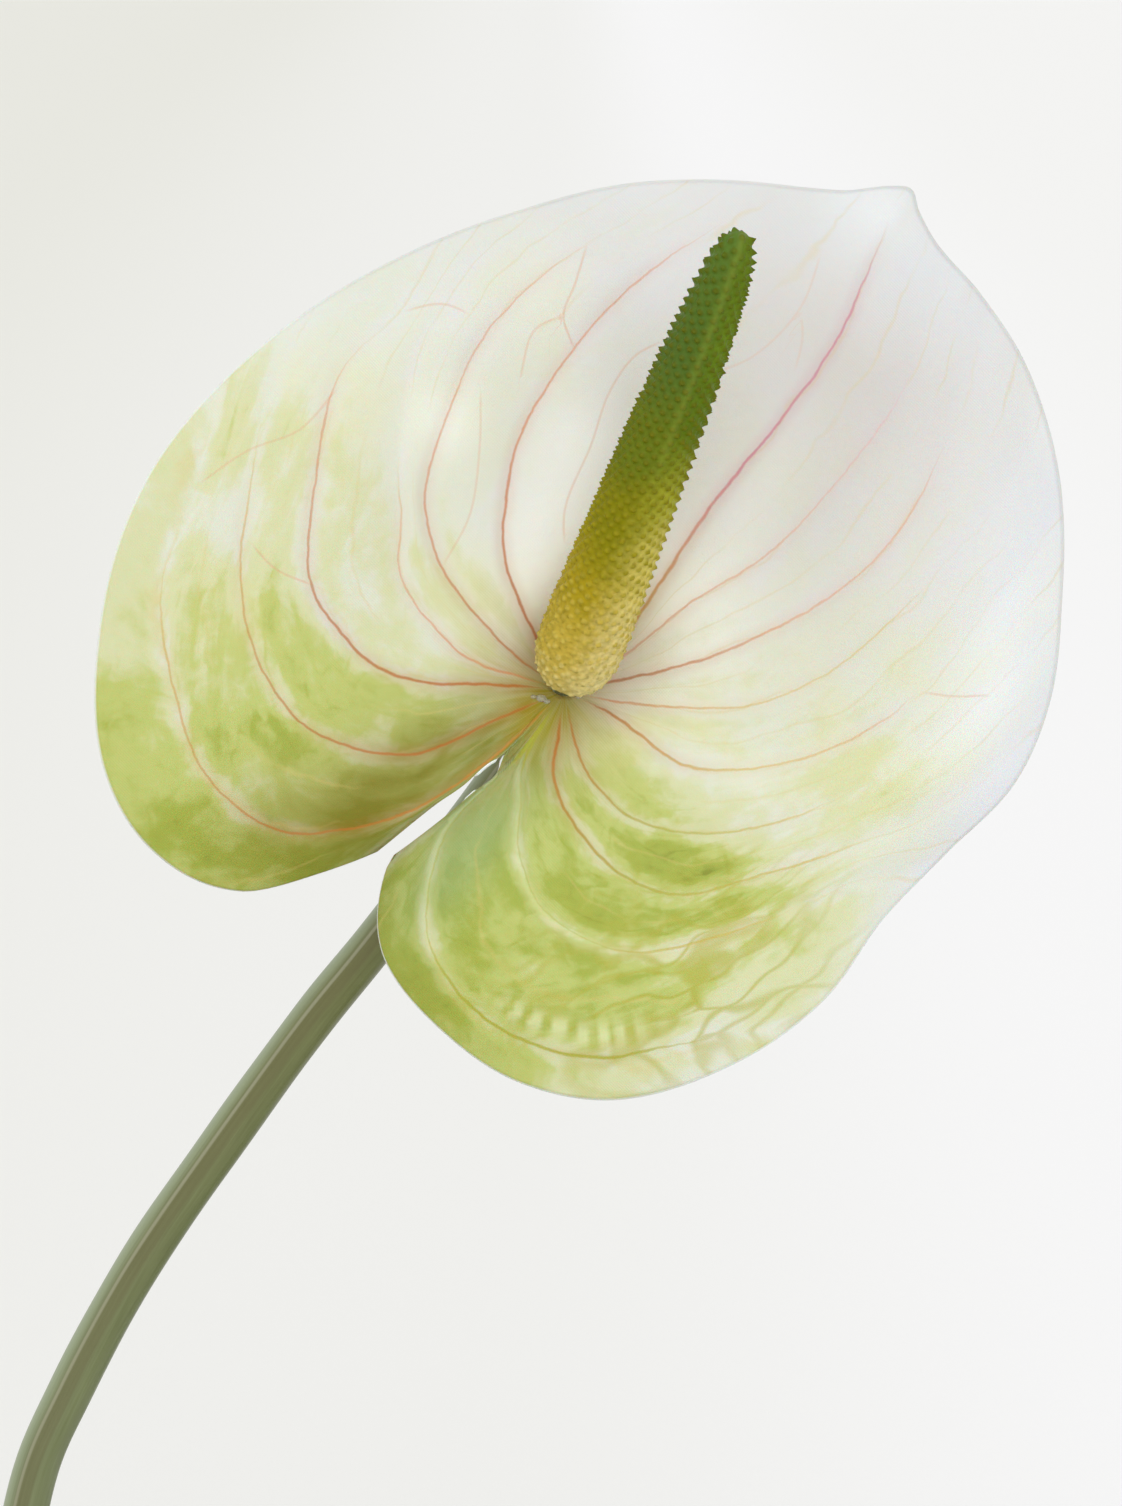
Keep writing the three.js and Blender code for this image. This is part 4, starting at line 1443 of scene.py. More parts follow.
@dataclass(frozen=True)
class SpadixSkin:
    """Waxy beads: sandy at the foot, olive in the middle and green at the tip, painted lighter on the right
    as the lit side and darker on the left as the shaded side.
    """

    roughness: float = 0.42

    def material(self) -> bpy.types.Material:
        """Builds the finish.

        Returns:
            The material.
        """
        s = Shader("spadix_skin", self.roughness, Subsurface_Weight=0.05, Subsurface_Scale=0.001,
                   Specular_IOR_Level=0.1)
        bead, run, own = s.stored("bead")
        side, seam, _ = s.stored("side")
        run = s.math("ADD", run, s.wander(160, 0.12))
        # painted light and shade: the left ramp is the shaded side and the right ramp the lit side, lighter
        # and creamier
        left = s.ramp(run, (0.0, "#d2bb70"), (0.1, "#c1a740"), (0.22, "#a99316"), (0.4, "#837e00"),
                      (0.58, "#667514"), (0.76, "#516c24"), (1.0, "#577426"))
        right = s.ramp(run, (0.0, "#ead99c"), (0.14, "#e3cf88"), (0.3, "#d6c562"), (0.46, "#a4a42a"),
                       (0.62, "#5c7406"), (0.8, "#66800c"), (1.0, "#617913"))
        tops = s.ramp(run, (0.0, "#e0ce8c"), (0.14, "#c4ad46"), (0.34, "#978c10"), (0.56, "#6c6c04"),
                      (0.76, "#5c6206"), (1.0, "#56640c"))
        grain = s.wander(700, 0.9)
        # the painted lit and shaded sides are blended round the spike
        colour = s.mix(s.step(s.math("ADD", side, grain), -0.5, 0.75), left, right)
        share = s.times(s.step(bead, 0.05, 0.5), s.math("MULTIPLY_ADD", own, 0.35, 0.6))
        colour = s.mix(share, colour, tops)
        pores = s.times(s.step(s.cells(s.place(), 900, False), 0.3, 0.12), s.step(run, 0.55, 0.3))
        colour = s.mix(s.times(pores, 0.4), colour, tint("#77680f"))
        mottle = s.step(s.noise(s.place(), 1100, 3), 0.35, 0.7)
        colour = s.mix(s.times(mottle, 0.25), colour, tint("#5d5a08"))
        colour = s.mix(s.times(seam, 0.2), colour, tint("#8f9a3e"))
        s.raise_by(s.noise(s.place(), 2200, 2), 0.00006, 0.5)
        return s.colour(colour)


@dataclass
class GlueDrops:
    """Small clear beads of glue by the foot of the spike."""

    drops: tuple[tuple[float, float, float, float], ...] = (
        (-3.3, -1.1, 0.8, 0.5), (-2.5, -1.5, 0.55, 0.5), (-4.3, -0.9, 0.45, 0.35), (1.9, -0.9, 0.5, 0.35),
    )

    def build(self, spathe: Spathe, finish: bpy.types.Material) -> None:
        """Builds the drops where they sit on the sheet.

        Args:
            spathe: the sheet.
            finish: their material.
        """
        bm = bmesh.new()
        c, s = math.cos(math.radians(MIDRIB_LEAN)), math.sin(math.radians(MIDRIB_LEAN))
        for x, y, size, height in self.drops:
            flat = np.array([[x, y, 0.0]])
            local = np.array([[x * c - y * s, x * s + y * c]])
            flat[0, 2] = spathe.dish(local)[0] + 0.25
            middle = Vector(BLOOM.outward(flat)[0])
            turn = Matrix(BLOOM.axes.tolist()).transposed().to_4x4()
            shape = Matrix.Translation(middle) @ turn @ Matrix.Diagonal((size, size * 0.7, height, 1))
            bmesh.ops.create_icosphere(bm, subdivisions=3, radius=1, matrix=shape)
        make_piece("glue_drops", bm, [finish], [])


def clear_glue() -> bpy.types.Material:
    """A hard clear drop."""
    s = Shader("clear_glue", 0.08, Transmission_Weight=0.75, IOR=1.45)
    return s.colour(s.ramp(s.noise(s.place(), 400), (0.3, "#e9ecc9"), (0.7, "#f6f7ea")))


# ---------------------------------------------------------------- the flower's stem
@dataclass
class Peduncle:
    """The long bowed stem, with the moulded line down its left side."""

    base_radius: float = 3.5
    top_radius: float = 2.95
    neck_radius: float = 1.4
    line_angle: float = 62.0
    line_height: float = 0.2
    from_crown: tuple[tuple[float, float, float], ...] = (
        (-2, 0, 98), (-4.5, 0, 112), (-13, 0, 140), (-24, -1, 173), (-31.5, -2, 208), (-33.5, -3, 236),
    )
    to_bloom: tuple[tuple[float, float, float], ...] = (
        (-75.6, -111.5, -42), (-70.2, -99, -40), (-60.3, -81, -36), (-47.9, -63, -31), (-34.7, -45, -25),
        (-26.7, -35.2, -21), (-12.9, -17.4, -14.6), (-2.5, -3, -12.6), (0.7, 2.2, -9), (1.2, 3.6, -4),
        (1.9, 5, 0.6),
    )

    def build(self, finish: bpy.types.Material) -> None:
        """Builds and dresses the stem.

        Args:
            finish: its material.
        """
        route = np.vstack([np.array(self.from_crown, float), BLOOM.outward(self.to_bloom)])
        line = smooth_line(route, 0.9)
        length = np.linalg.norm(np.diff(line, axis=0), axis=1).sum()

        def radius(run: Array, angle: Array) -> Array:
            """The stem's radius, with its raised line.

            Args:
                run: the share of the stem's length.
                angle: the angle round it.

            Returns:
                The radius.
            """
            plain = self.base_radius + (self.top_radius - self.base_radius) * run
            neck = smooth((1 - run) * length - 9, 1.5, 7)
            off = turn_from(np.degrees(angle), self.line_angle)
            raised = self.line_height * bell(off, 8) - 0.1 * bell(off + 22, 10)
            uneven = 0.03 * np.sin(run * 90 + 2 * np.sin(angle))
            return self.neck_radius + (plain + raised + uneven - self.neck_radius) * neck

        bm = tube_blank(340, 72)
        values = bend_tube(bm, line, radius)
        make_piece("flower_stem", bm, [finish], ["peduncle"], {"stem": values})


@dataclass(frozen=True)
class StemSkin:
    """Satin grey-green with a pale line and an olive shadow beside it."""

    roughness: float = 0.38

    def material(self) -> bpy.types.Material:
        """Builds the finish.

        Returns:
            The material.
        """
        s = Shader("stem_skin", self.roughness, Specular_IOR_Level=0.45, Coat_Weight=0.08)
        left, facing, run = s.stored("stem")
        angle = s.math("ARCTAN2", facing, left)
        line = s.step(s.gap(angle, 1.06), 0.12, 0.03)
        shade = s.step(s.gap(angle, 1.34), 0.45, 0.2)
        along = s.vector(s.times(left, 0.01), s.times(facing, 0.01), s.times(run, 0.0001))
        streak = s.noise(along, 900, 3)
        colour = s.ramp(streak, (0.25, "#6e764f"), (0.5, "#767e57"), (0.8, "#808962"))
        rise = s.step(run, 120, 330)
        colour = s.mix(rise, colour, s.ramp(streak, (0.2, "#5f602a"), (0.8, "#6b6e37")))
        foot = s.step(run, 45, 8)
        colour = s.mix(s.times(foot, 0.6), colour, tint("#9fa573"))
        lit = s.times(s.step(left, 0.55, 1.0), s.step(facing, -0.5, 0.0))
        colour = s.mix(s.times(lit, 0.55), colour, tint("#a9b59a"))
        colour = s.mix(s.times(shade, 0.55), colour, tint("#5f5a33"))
        colour = s.mix(s.times(line, 0.7), colour, tint("#96957a"))
        s.raise_by(streak, 0.00006, 0.6)
        s.raise_by(s.noise(s.place(), 700, 2), 0.00005, 0.5)
        return s.colour(colour)


# ---------------------------------------------------------------- leaves and their stalks
@dataclass(frozen=True)
class LeafSize:
    """One leaf: where its stalk ends, how large it is and how it hangs."""

    azimuth: float
    reach: float
    height: float
    length: float
    width: float
    drop: float
    arch: float
    fold: float
    roll: float


LEAVES = (
    LeafSize(10, 76, 200, 126, 1, 30, 1, 0.13, 5),
    LeafSize(62, 58, 222, 120, 0.97, 26, 0.8, 0.16, -6),
    LeafSize(110, 81, 189, 128, 1.02, 33, 1, 0.12, 4),
    LeafSize(158, 80, 214, 122, 1, 32, 0.9, 0.14, -5),
    LeafSize(208, 74, 196, 116, 1.03, 36, 1.1, 0.12, 6),
    LeafSize(258, 62, 224, 112, 0.96, 32, 0.9, 0.17, -4),
    LeafSize(312, 74, 192, 122, 1.01, 38, 1, 0.12, -7),
)


def outward(azimuth: float, distance: float, height: float) -> tuple[float, float, float]:
    """A point at a distance and height in the direction of an azimuth."""
    turn = math.radians(azimuth)
    return (distance * math.cos(turn), distance * math.sin(turn), height)


@dataclass
class Leaf:
    """One heart-shaped leaf on its stalk."""

    size: LeafSize
    number: int
    thickness: float = 0.5
    rings: int = 52
    columns: int = 208
    edge: tuple[tuple[float, float], ...] = (
        (0, 1), (3, 0.955), (9, 0.86), (20, 0.74), (36, 0.62), (56, 0.52), (80, 0.455), (106, 0.425),
        (130, 0.41), (150, 0.375), (164, 0.3), (173, 0.2), (180, 0.11),
    )

    def placement(self) -> Placement:
        """The frame at the leaf's joint: X across, Y along the midrib, Z out of the upper face.

        Returns:
            The frame.
        """
        turn = (
            Matrix.Rotation(math.radians(self.size.azimuth - 90), 3, "Z")
            @ Matrix.Rotation(math.radians(-self.size.drop), 3, "X")
            @ Matrix.Rotation(math.radians(self.size.roll), 3, "Y")
        )
        origin = np.array(outward(self.size.azimuth, self.size.reach, self.size.height))
        return Placement(origin, np.array(turn.transposed()))

    def radius(self, degrees: Array) -> Array:
        """The edge's distance from the joint, at angles from the midrib."""
        wide = 1 + (self.size.width - 1) * np.sin(np.radians(degrees)) ** 2
        return through(self.edge, np.abs(degrees)) * self.size.length * wide

    def depth(self, x: Array, y: Array, share: Array, degrees: Array) -> Array:
        """How far the blade stands out of its flat plane.

        Args:
            x, y: places on the flat blade.
            share: the share of the blade's radius.
            degrees: the angle from the midrib.

        Returns:
            The heights in millimetres.
        """
        bend = -(self.size.arch * 0.24 * y**2) / self.size.length
        halves = self.size.fold * (np.sqrt(x**2 + 25) - 5) * (1 - 0.45 * share)
        waves = 1.6 * share**3 * np.sin(np.radians(degrees) * 5 + self.size.length)
        return bend + halves + waves

    def veins(self, x: Array, y: Array) -> tuple[Array, Array]:
        """The side veins: their number at each point, and the spacing between them there.

        Args:
            x, y: places on the flat blade.

        Returns:
            The numbers and the spacings.
        """
        side = np.abs(x)
        level = y - 0.5 * side - 0.004 * side**2
        pitch = self.size.length / 10
        near = np.hypot(x, y) * 0.45 + 0.4
        number = np.where(level >= 0, level / pitch, level / near)
        spacing = np.where(level >= 0, pitch * 0.86, near * 0.9)
        return number, np.minimum(spacing, pitch)

    def build_blade(self, finishes: Sequence[bpy.types.Material]) -> None:
        """Builds and dresses the blade.

        Args:
            finishes: its upper face, and its underside and edge.
        """
        bm, turn, share = sheet_blank(self.columns, self.rings)
        degrees = -180 + 360 * turn
        reach = share * self.radius(degrees)
        angle = np.radians(degrees)
        move_to(bm, np.column_stack([reach * np.sin(angle), reach * np.cos(angle), np.zeros_like(reach)]))
        bmesh.ops.remove_doubles(bm, verts=bm.verts, dist=SHEET_WELD)
        flat = coordinates(bm)
        x, y = flat[:, 0], flat[:, 1]
        degrees = np.degrees(np.arctan2(x, y))
        share = np.clip(np.hypot(x, y) / self.radius(degrees), 0, 1)
        number, spacing = self.veins(x, y)
        pairs = [(number - 2 * np.round((number - k) / 2) - k) * spacing for k in (0, 1)]
        own = np.minimum(np.abs(pairs[0]), np.abs(pairs[1]))
        calm = smooth(share, 0.05, 0.3) * (1 - smooth(share, 0.9, 1.0))
        rib = bell(x, 1.6) * smooth(y, -2, 6) * (1 - 0.8 * smooth(share, 0.5, 0.95))
        pillow = 0.9 * np.sin(np.mod(number, 1) * math.pi) * calm
        fine = 0.16 * np.sin(x * 0.9 + 1.7 * np.sin(y / 6)) * np.sin(y * 0.7 + x * 0.13)
        ripple = 0.7 * np.sin(np.radians(degrees) * 14 + self.number) * smooth(share, 0.7, 1.0)
        relief = pillow - 0.5 * bell(own, 1.1) * calm - 0.9 * rib + fine + ripple
        depth = self.depth(x, y, share, degrees) + relief + self.thickness / 2
        move_to(bm, self.placement().outward(np.column_stack([x, y, depth])))
        values = {
            "vein": np.column_stack([number, *pairs]),
            "blade": np.column_stack([x, y / self.size.length, share]),
        }
        name = f"leaf_{self.number}"
        blade = make_piece(f"{name}_blade", bm, finishes, [name], values)
        give_wall(blade, self.thickness)

    def build_stalk(self, finish: bpy.types.Material) -> None:
        """Builds and dresses the stalk, up to its knuckle under the blade.

        Args:
            finish: its material.
        """
        size = self.size
        joint = self.placement()
        rise = size.height - SOIL_TOP
        under = [tuple(joint.outward([(0, 0, -d)])[0]) for d in (11, 5, 0.5)]
        route = [
            outward(size.azimuth, RING_RADIUS - 1.5, SOIL_TOP - 1),
            outward(size.azimuth, RING_RADIUS + 1.5, SOIL_TOP + 11),
            outward(size.azimuth, size.reach * 0.36 + 5, SOIL_TOP + rise * 0.4),
            outward(size.azimuth, size.reach * 0.72, SOIL_TOP + rise * 0.76), *under,
        ]

        def radius(run: Array, angle: Array) -> Array:
            """The stalk's radius: stout at the foot, with a knuckle and a shallow groove on top.

            Args:
                run: the share of the stalk's length.
                angle: the angle round it.

            Returns:
                The radius.
            """
            stalk = 2.6 - 0.7 * smooth(run, 0, 0.35)
            knuckle = 0.8 * smooth(run, 0.87, 0.92) * (1 - smooth(run, 0.96, 1))
            groove = 0.22 * bell(turn_from(np.degrees(angle), 0), 24) * smooth(run, 0.05, 0.2)
            return stalk + knuckle - groove * (1 - smooth(run, 0.84, 0.9))

        bm = tube_blank(110, 20)
        values = bend_tube(bm, smooth_line(route, 1.2), radius)
        values[:, 2] /= values[:, 2].max()
        name = f"petiole_{self.number}"
        make_piece(f"{name}_stalk", bm, [finish], [name], {"stem": values})


@dataclass(frozen=True)
class LeafFace:
    """The upper face: deep glossy green with pale veins."""

    roughness: float = 0.27

    def rib_and_veins(self, s: Shader) -> tuple[Socket, Socket, Socket]:
        """Masks of the midrib and side veins, and the distance to the nearest side vein.

        Args:
            s: the material that is being built.

        Returns:
            The two masks and the distance.
        """
        number, even, odd = s.stored("vein")
        across, _, share = s.stored("blade")
        half = s.math("FRACT", s.math("MULTIPLY_ADD", number, 0.5, 0.5))
        is_even = s.math("LESS_THAN", s.gap(half, 0.5), 0.25)
        nearest = s.math("ADD", s.times(even, is_even), s.times(odd, s.math("SUBTRACT", 1.0, is_even)))
        wobble = s.wander(130, 1.6)
        nearest = s.math("ABSOLUTE", s.math("ADD", nearest, wobble))
        rib_width = s.math("MULTIPLY_ADD", share, -1.1, 1.5)
        rib = s.step(s.math("DIVIDE", s.math("ABSOLUTE", across), rib_width), 1.1, 0.5)
        side = s.times(s.step(nearest, 0.75, 0.15), s.step(share, 0.93, 0.7))
        return rib, side, nearest

    def material(self) -> bpy.types.Material:
        """Builds the finish.

        Returns:
            The material.
        """
        s = Shader("leaf_face", self.roughness, Coat_Weight=0.4, Coat_Roughness=0.14, Subsurface_Weight=0.04,
                   Subsurface_Scale=0.001)
        rib, side, nearest = self.rib_and_veins(s)
        share = s.stored("blade")[2]
        cloud = s.math("MULTIPLY_ADD", s.noise(s.place(), 60, 4, 0.5), 0.8,
                       s.times(s.noise(s.place(), 420, 2), 0.25))
        colour = s.ramp(cloud, (0.3, "#1f4519"), (0.52, "#2c5a20"), (0.75, "#3b6c29"))
        colour = s.mix(s.times(s.step(nearest, 4.0, 0.4), 0.3), colour, tint("#4f843f"))
        net = s.step(s.cells(s.place(), 330, True), 0.09, 0.0)
        colour = s.mix(s.times(net, 0.2), colour, tint("#568241"))
        colour = s.mix(s.times(side, 0.45), colour, tint("#7d9f52"))
        colour = s.mix(s.times(rib, 0.7), colour, tint("#98b066"))
        colour = s.mix(s.step(share, 0.985, 1.0), colour, tint("#7f9150"))
        s.raise_by(s.math("SUBTRACT", 1.0, net), 0.00015, 0.5)
        s.raise_by(s.noise(s.place(), 900, 2), 0.00006, 0.4)
        return s.colour(colour)


@dataclass(frozen=True)
class LeafBack:
    """The underside: paler, matt, with its veins standing out."""

    roughness: float = 0.55

    def material(self) -> bpy.types.Material:
        """Builds the finish.

        Returns:
            The material.
        """
        s = Shader("leaf_back", self.roughness, Subsurface_Weight=0.06, Subsurface_Scale=0.001)
        rib, side, _ = LeafFace().rib_and_veins(s)
        colour = s.ramp(s.noise(s.place(), 80, 4), (0.3, "#54793f"), (0.7, "#6d9153"))
        colour = s.mix(s.times(side, 0.6), colour, tint("#9cb57a"))
        colour = s.mix(s.times(rib, 0.8), colour, tint("#b0bf88"))
        s.raise_by(s.math("ADD", rib, s.times(side, 0.6)), 0.0005, 0.8)
        s.raise_by(s.noise(s.place(), 700, 3), 0.0001, 0.4)
        return s.colour(colour)


@dataclass(frozen=True)
class StalkSkin:
    """Smooth green stalks, paler at the foot and at the knuckle."""

    roughness: float = 0.4

    def material(self) -> bpy.types.Material:
        """Builds the finish.

        Returns:
            The material.
        """
        s = Shader("stalk_skin", self.roughness, Specular_IOR_Level=0.45)
        left, facing, run = s.stored("stem")
        grain = s.noise(s.vector(s.times(left, 0.01), s.times(facing, 0.01), run), 400, 3)
        colour = s.ramp(run, (0.0, "#a9b377"), (0.12, "#6f8c46"), (0.5, "#587a38"), (0.84, "#55773a"),
                        (0.92, "#8a9f58"), (1.0, "#96a963"))
        colour = s.mix(s.times(s.step(grain, 0.45, 0.75), 0.4), colour, tint("#87613f"))
        flecks = s.step(s.cells(s.place(), 700, False), 0.22, 0.12)
        colour = s.mix(s.times(flecks, 0.35), colour, tint("#b5bf8c"))
        s.raise_by(grain, 0.0001, 0.5)
        return s.colour(colour)


@dataclass
class NewLeaf:
    """A young leaf still rolled into a spear."""

    azimuth: float = 37.0
    length: float = 92.0

    def build(self, finish: bpy.types.Material) -> None:
        """Builds and dresses the rolled leaf.

        Args:
            finish: its material.
        """
        foot = SOIL_TOP - 1
        route = [
            outward(self.azimuth, RING_RADIUS - 7, foot), outward(self.azimuth, RING_RADIUS - 5, foot + 20),
            outward(self.azimuth, RING_RADIUS, foot + self.length * 0.6),
            outward(self.azimuth, RING_RADIUS + 8, foot + self.length),
        ]

        def radius(run: Array, angle: Array) -> Array:
            """A slim stalk, then a rolled blade whose free edge winds round it.

            Args:
                run: the share of the length.
                angle: the angle round it.

            Returns:
                The radius.
            """
            rolled = 1.9 * np.sin(math.pi * np.clip((run - 0.42) / 0.58, 0, 1)) ** 0.8
            stalk = 1.7 * (1 - smooth(run, 0.7, 1))
            wound = np.mod(np.degrees(angle) + 260 * run, 360) / 360
            lip = (wound - 0.5) * 0.5 * smooth(run, 0.45, 0.55) * (1 - smooth(run, 0.9, 1))
            return np.maximum(stalk + rolled, 0.3) + lip

        bm = tube_blank(120, 48)
        values = bend_tube(bm, smooth_line(route, 0.8), radius)
        values[:, 2] /= self.length
        make_piece("new_leaf_roll", bm, [finish], ["new_leaf"], {"stem": values})


def young_skin() -> bpy.types.Material:
    """Fresh glossy green with a bronze flush.

    Returns:
        The material.
    """
    s = Shader("young_skin", 0.32, Coat_Weight=0.2)
    left, facing, run = s.stored("stem")
    along = s.vector(s.times(left, 0.01), s.times(facing, 0.01), s.times(run, 0.02))
    grain = s.noise(along, 500, 3)
    colour = s.ramp(run, (0.0, "#a3ad6c"), (0.3, "#7f9b4c"), (0.55, "#86a748"), (0.85, "#9a9a4d"),
                    (1.0, "#93713f"))
    colour = s.mix(s.times(s.step(grain, 0.4, 0.8), 0.5), colour, tint("#9c7a4a"))
    s.raise_by(grain, 0.00015, 0.5)
    return s.colour(colour)


# ---------------------------------------------------------------- crown, scales and roots
def uneven(points: Array, scale: float, amount: float) -> Array:
    """Smooth repeatable unevenness at points, from crossed waves.

    Args:
        points: one row for each point.
        scale: how close the waves are.
        amount: how far they reach.

    Returns:
        One value for each point.
    """
    x, y, z = (points * scale).T
    waves = np.sin(x + 1.7 * np.sin(y)) + np.sin(1.3 * y + 1.9 * np.sin(z)) + np.sin(1.7 * z + x)
    return amount * waves / 3


def swell(bm: bmesh.types.BMesh, heights: Array) -> None:
    """Moves each vertex of a mesh out along its normal."""
    normals = np.array([v.normal for v in bm.verts])
    move_to(bm, coordinates(bm) + normals * heights[:, None])


@dataclass
class Crown:
    """The short knobbly stem in the middle of the pot, ringed by old leaf scars."""

    bottom: float = CROWN_BOTTOM
    dome: float = CROWN_DOME

    def build(self, finish: bpy.types.Material) -> None:
        """Builds and dresses the crown.

        Args:
            finish: its material.
        """
        top = SOIL_TOP + self.dome
        corners = (
            (0, self.bottom), (CROWN_RADIUS * 0.7, self.bottom), (CROWN_RADIUS, self.bottom + 6),
            (CROWN_RADIUS, SOIL_TOP + self.dome * 0.3), (CROWN_RADIUS * 0.82, top - 1.6), (0, top - 0.4),
        )
        bm = turned_body(section(corners, 0.7), 96)
        places = coordinates(bm)
        scars = 0.35 * np.sin(places[:, 2] * 2.4 + 1.5 * np.sin(np.arctan2(places[:, 1], places[:, 0]) * 3))
        swell(bm, scars + uneven(places, 0.55, 0.8) - 0.5)
        make_piece("crown_stock", bm, [finish], ["crown"])


def crown_bark() -> bpy.types.Material:
    """Brown-green corky skin.

    Returns:
        The material.
    """
    s = Shader("crown_bark", 0.8)
    cloud = s.noise(s.place(), 160, 5, 0.5)
    height = s.split(s.place())[2]
    bark = s.ramp(cloud, (0.3, "#4b3d26"), (0.55, "#77683f"), (0.8, "#9a9157"))
    colour = s.mix(s.step(height, 0.108, 0.1155), bark, s.ramp(cloud, (0.3, "#6a7338"), (0.7, "#93a05a")))
    s.raise_by(cloud, 0.0008, 0.8)
    s.raise_by(s.noise(s.place(), 900), 0.0002, 0.6)
    return s.colour(colour)


@dataclass
class PaperyScale:
    """A dry brown scale round the crown, with a frayed edge."""

    azimuth: float
    number: int
    thickness: float = 0.35
    edge: tuple[tuple[float, float], ...] = (
        (-180, 3), (-120, 4.6), (-70, 5.2), (-35, 8), (-12, 15), (0, 17), (12, 15), (35, 8), (70, 5.2),
        (120, 4.6), (180, 3),
    )

    def build(self, finish: bpy.types.Material) -> None:
        """Builds and dresses the scale.

        Args:
            finish: its material.
        """
        bm, turn, share = sheet_blank(96, 22)
        degrees = -180 + 360 * turn
        fray = 1 - 0.05 * share * (1 + np.sin(degrees * 0.55 + self.number) * np.sin(degrees * 0.21))
        reach = share * through(self.edge, degrees) * np.where(np.abs(degrees) < 60, fray, 1)
        angle = np.radians(degrees)
        x, y = reach * np.sin(angle), reach * np.cos(angle)
        curl = -(x**2) / (2 * CROWN_RADIUS) - 0.012 * y**2
        curl += 0.12 * np.sin(x * 4) + 0.3 * np.sin(y / 3 + self.number)
        pose = (
            Matrix.Rotation(math.radians(self.azimuth + 90), 4, "Z")
            @ Matrix.Translation((0, -CROWN_RADIUS - 4.4, SOIL_TOP + 5.2))
            @ Matrix.Rotation(math.pi / 2 + 0.35, 4, "X")
        )
        move_to(bm, np.column_stack([x, y, curl]))
        bmesh.ops.remove_doubles(bm, verts=bm.verts, dist=SHEET_WELD)
        bmesh.ops.transform(bm, matrix=pose, verts=bm.verts)
        name = f"cataphyll_{self.number}"
        scale = make_piece(f"{name}_scale", bm, [finish], [name])
        wall = scale.modifiers.new("thickness", "SOLIDIFY")
        wall.thickness, wall.offset = self.thickness * MM, 0


def dry_paper() -> bpy.types.Material:
    """Brown papery skin with long fibres.

    Returns:
        The material.
    """
    s = Shader("dry_paper", 0.75, Subsurface_Weight=0.1, Subsurface_Scale=0.001)
    stretch = s.node("ShaderNodeMapping")
    s.put(stretch.inputs["Vector"], s.place())
    stretch.inputs["Scale"].default_value = (1.0, 1.0, 0.12)
    fibre = s.noise(stretch.outputs[0], 1300, 4)
    s.raise_by(fibre, 0.0003, 0.8)
    return s.colour(s.ramp(fibre, (0.3, "#6e4f2e"), (0.55, "#a37f52"), (0.8, "#c9aa78")))


@dataclass
class Root:
    """A root that arches out of the crown and down into the mix."""

    azimuth: float
    reach: float
    rise: float
    number: int

    def build(self, finish: bpy.types.Material) -> None:
        """Builds and dresses the root.

        Args:
            finish: its material.
        """
        route = [
            outward(self.azimuth, CROWN_RADIUS - 3, SOIL_TOP + 1.8),
            outward(self.azimuth, CROWN_RADIUS + 4, SOIL_TOP + self.rise),
            outward(self.azimuth, self.reach - 5, SOIL_TOP + 3),
            outward(self.azimuth, self.reach, SOIL_TOP - 2),
            outward(self.azimuth, self.reach + 1, SOIL_TOP - 9),
        ]

        def radius(run: Array, angle: Array) -> Array:
            """A tapering, slightly knotty root."""
            knots = 0.12 * np.sin(run * 37 + self.number) + 0.06 * np.sin(angle * 3 + run * 20)
            return 1.75 - 0.5 * run + knots

        bm = tube_blank(48, 16)
        values = bend_tube(bm, smooth_line(route, 0.6), radius)
        name = f"aerial_root_{self.number}"
        make_piece(f"{name}_run", bm, [finish], [name], {"stem": values})


def root_skin() -> bpy.types.Material:
    """Grey-tan skin with fine cracks.

    Returns:
        The material.
    """
    s = Shader("root_skin", 0.78)
    cloud = s.noise(s.place(), 500, 4)
    s.raise_by(cloud, 0.0003, 0.7)
    return s.colour(s.ramp(cloud, (0.3, "#7c7350"), (0.55, "#a59c74"), (0.8, "#c4bc98")))


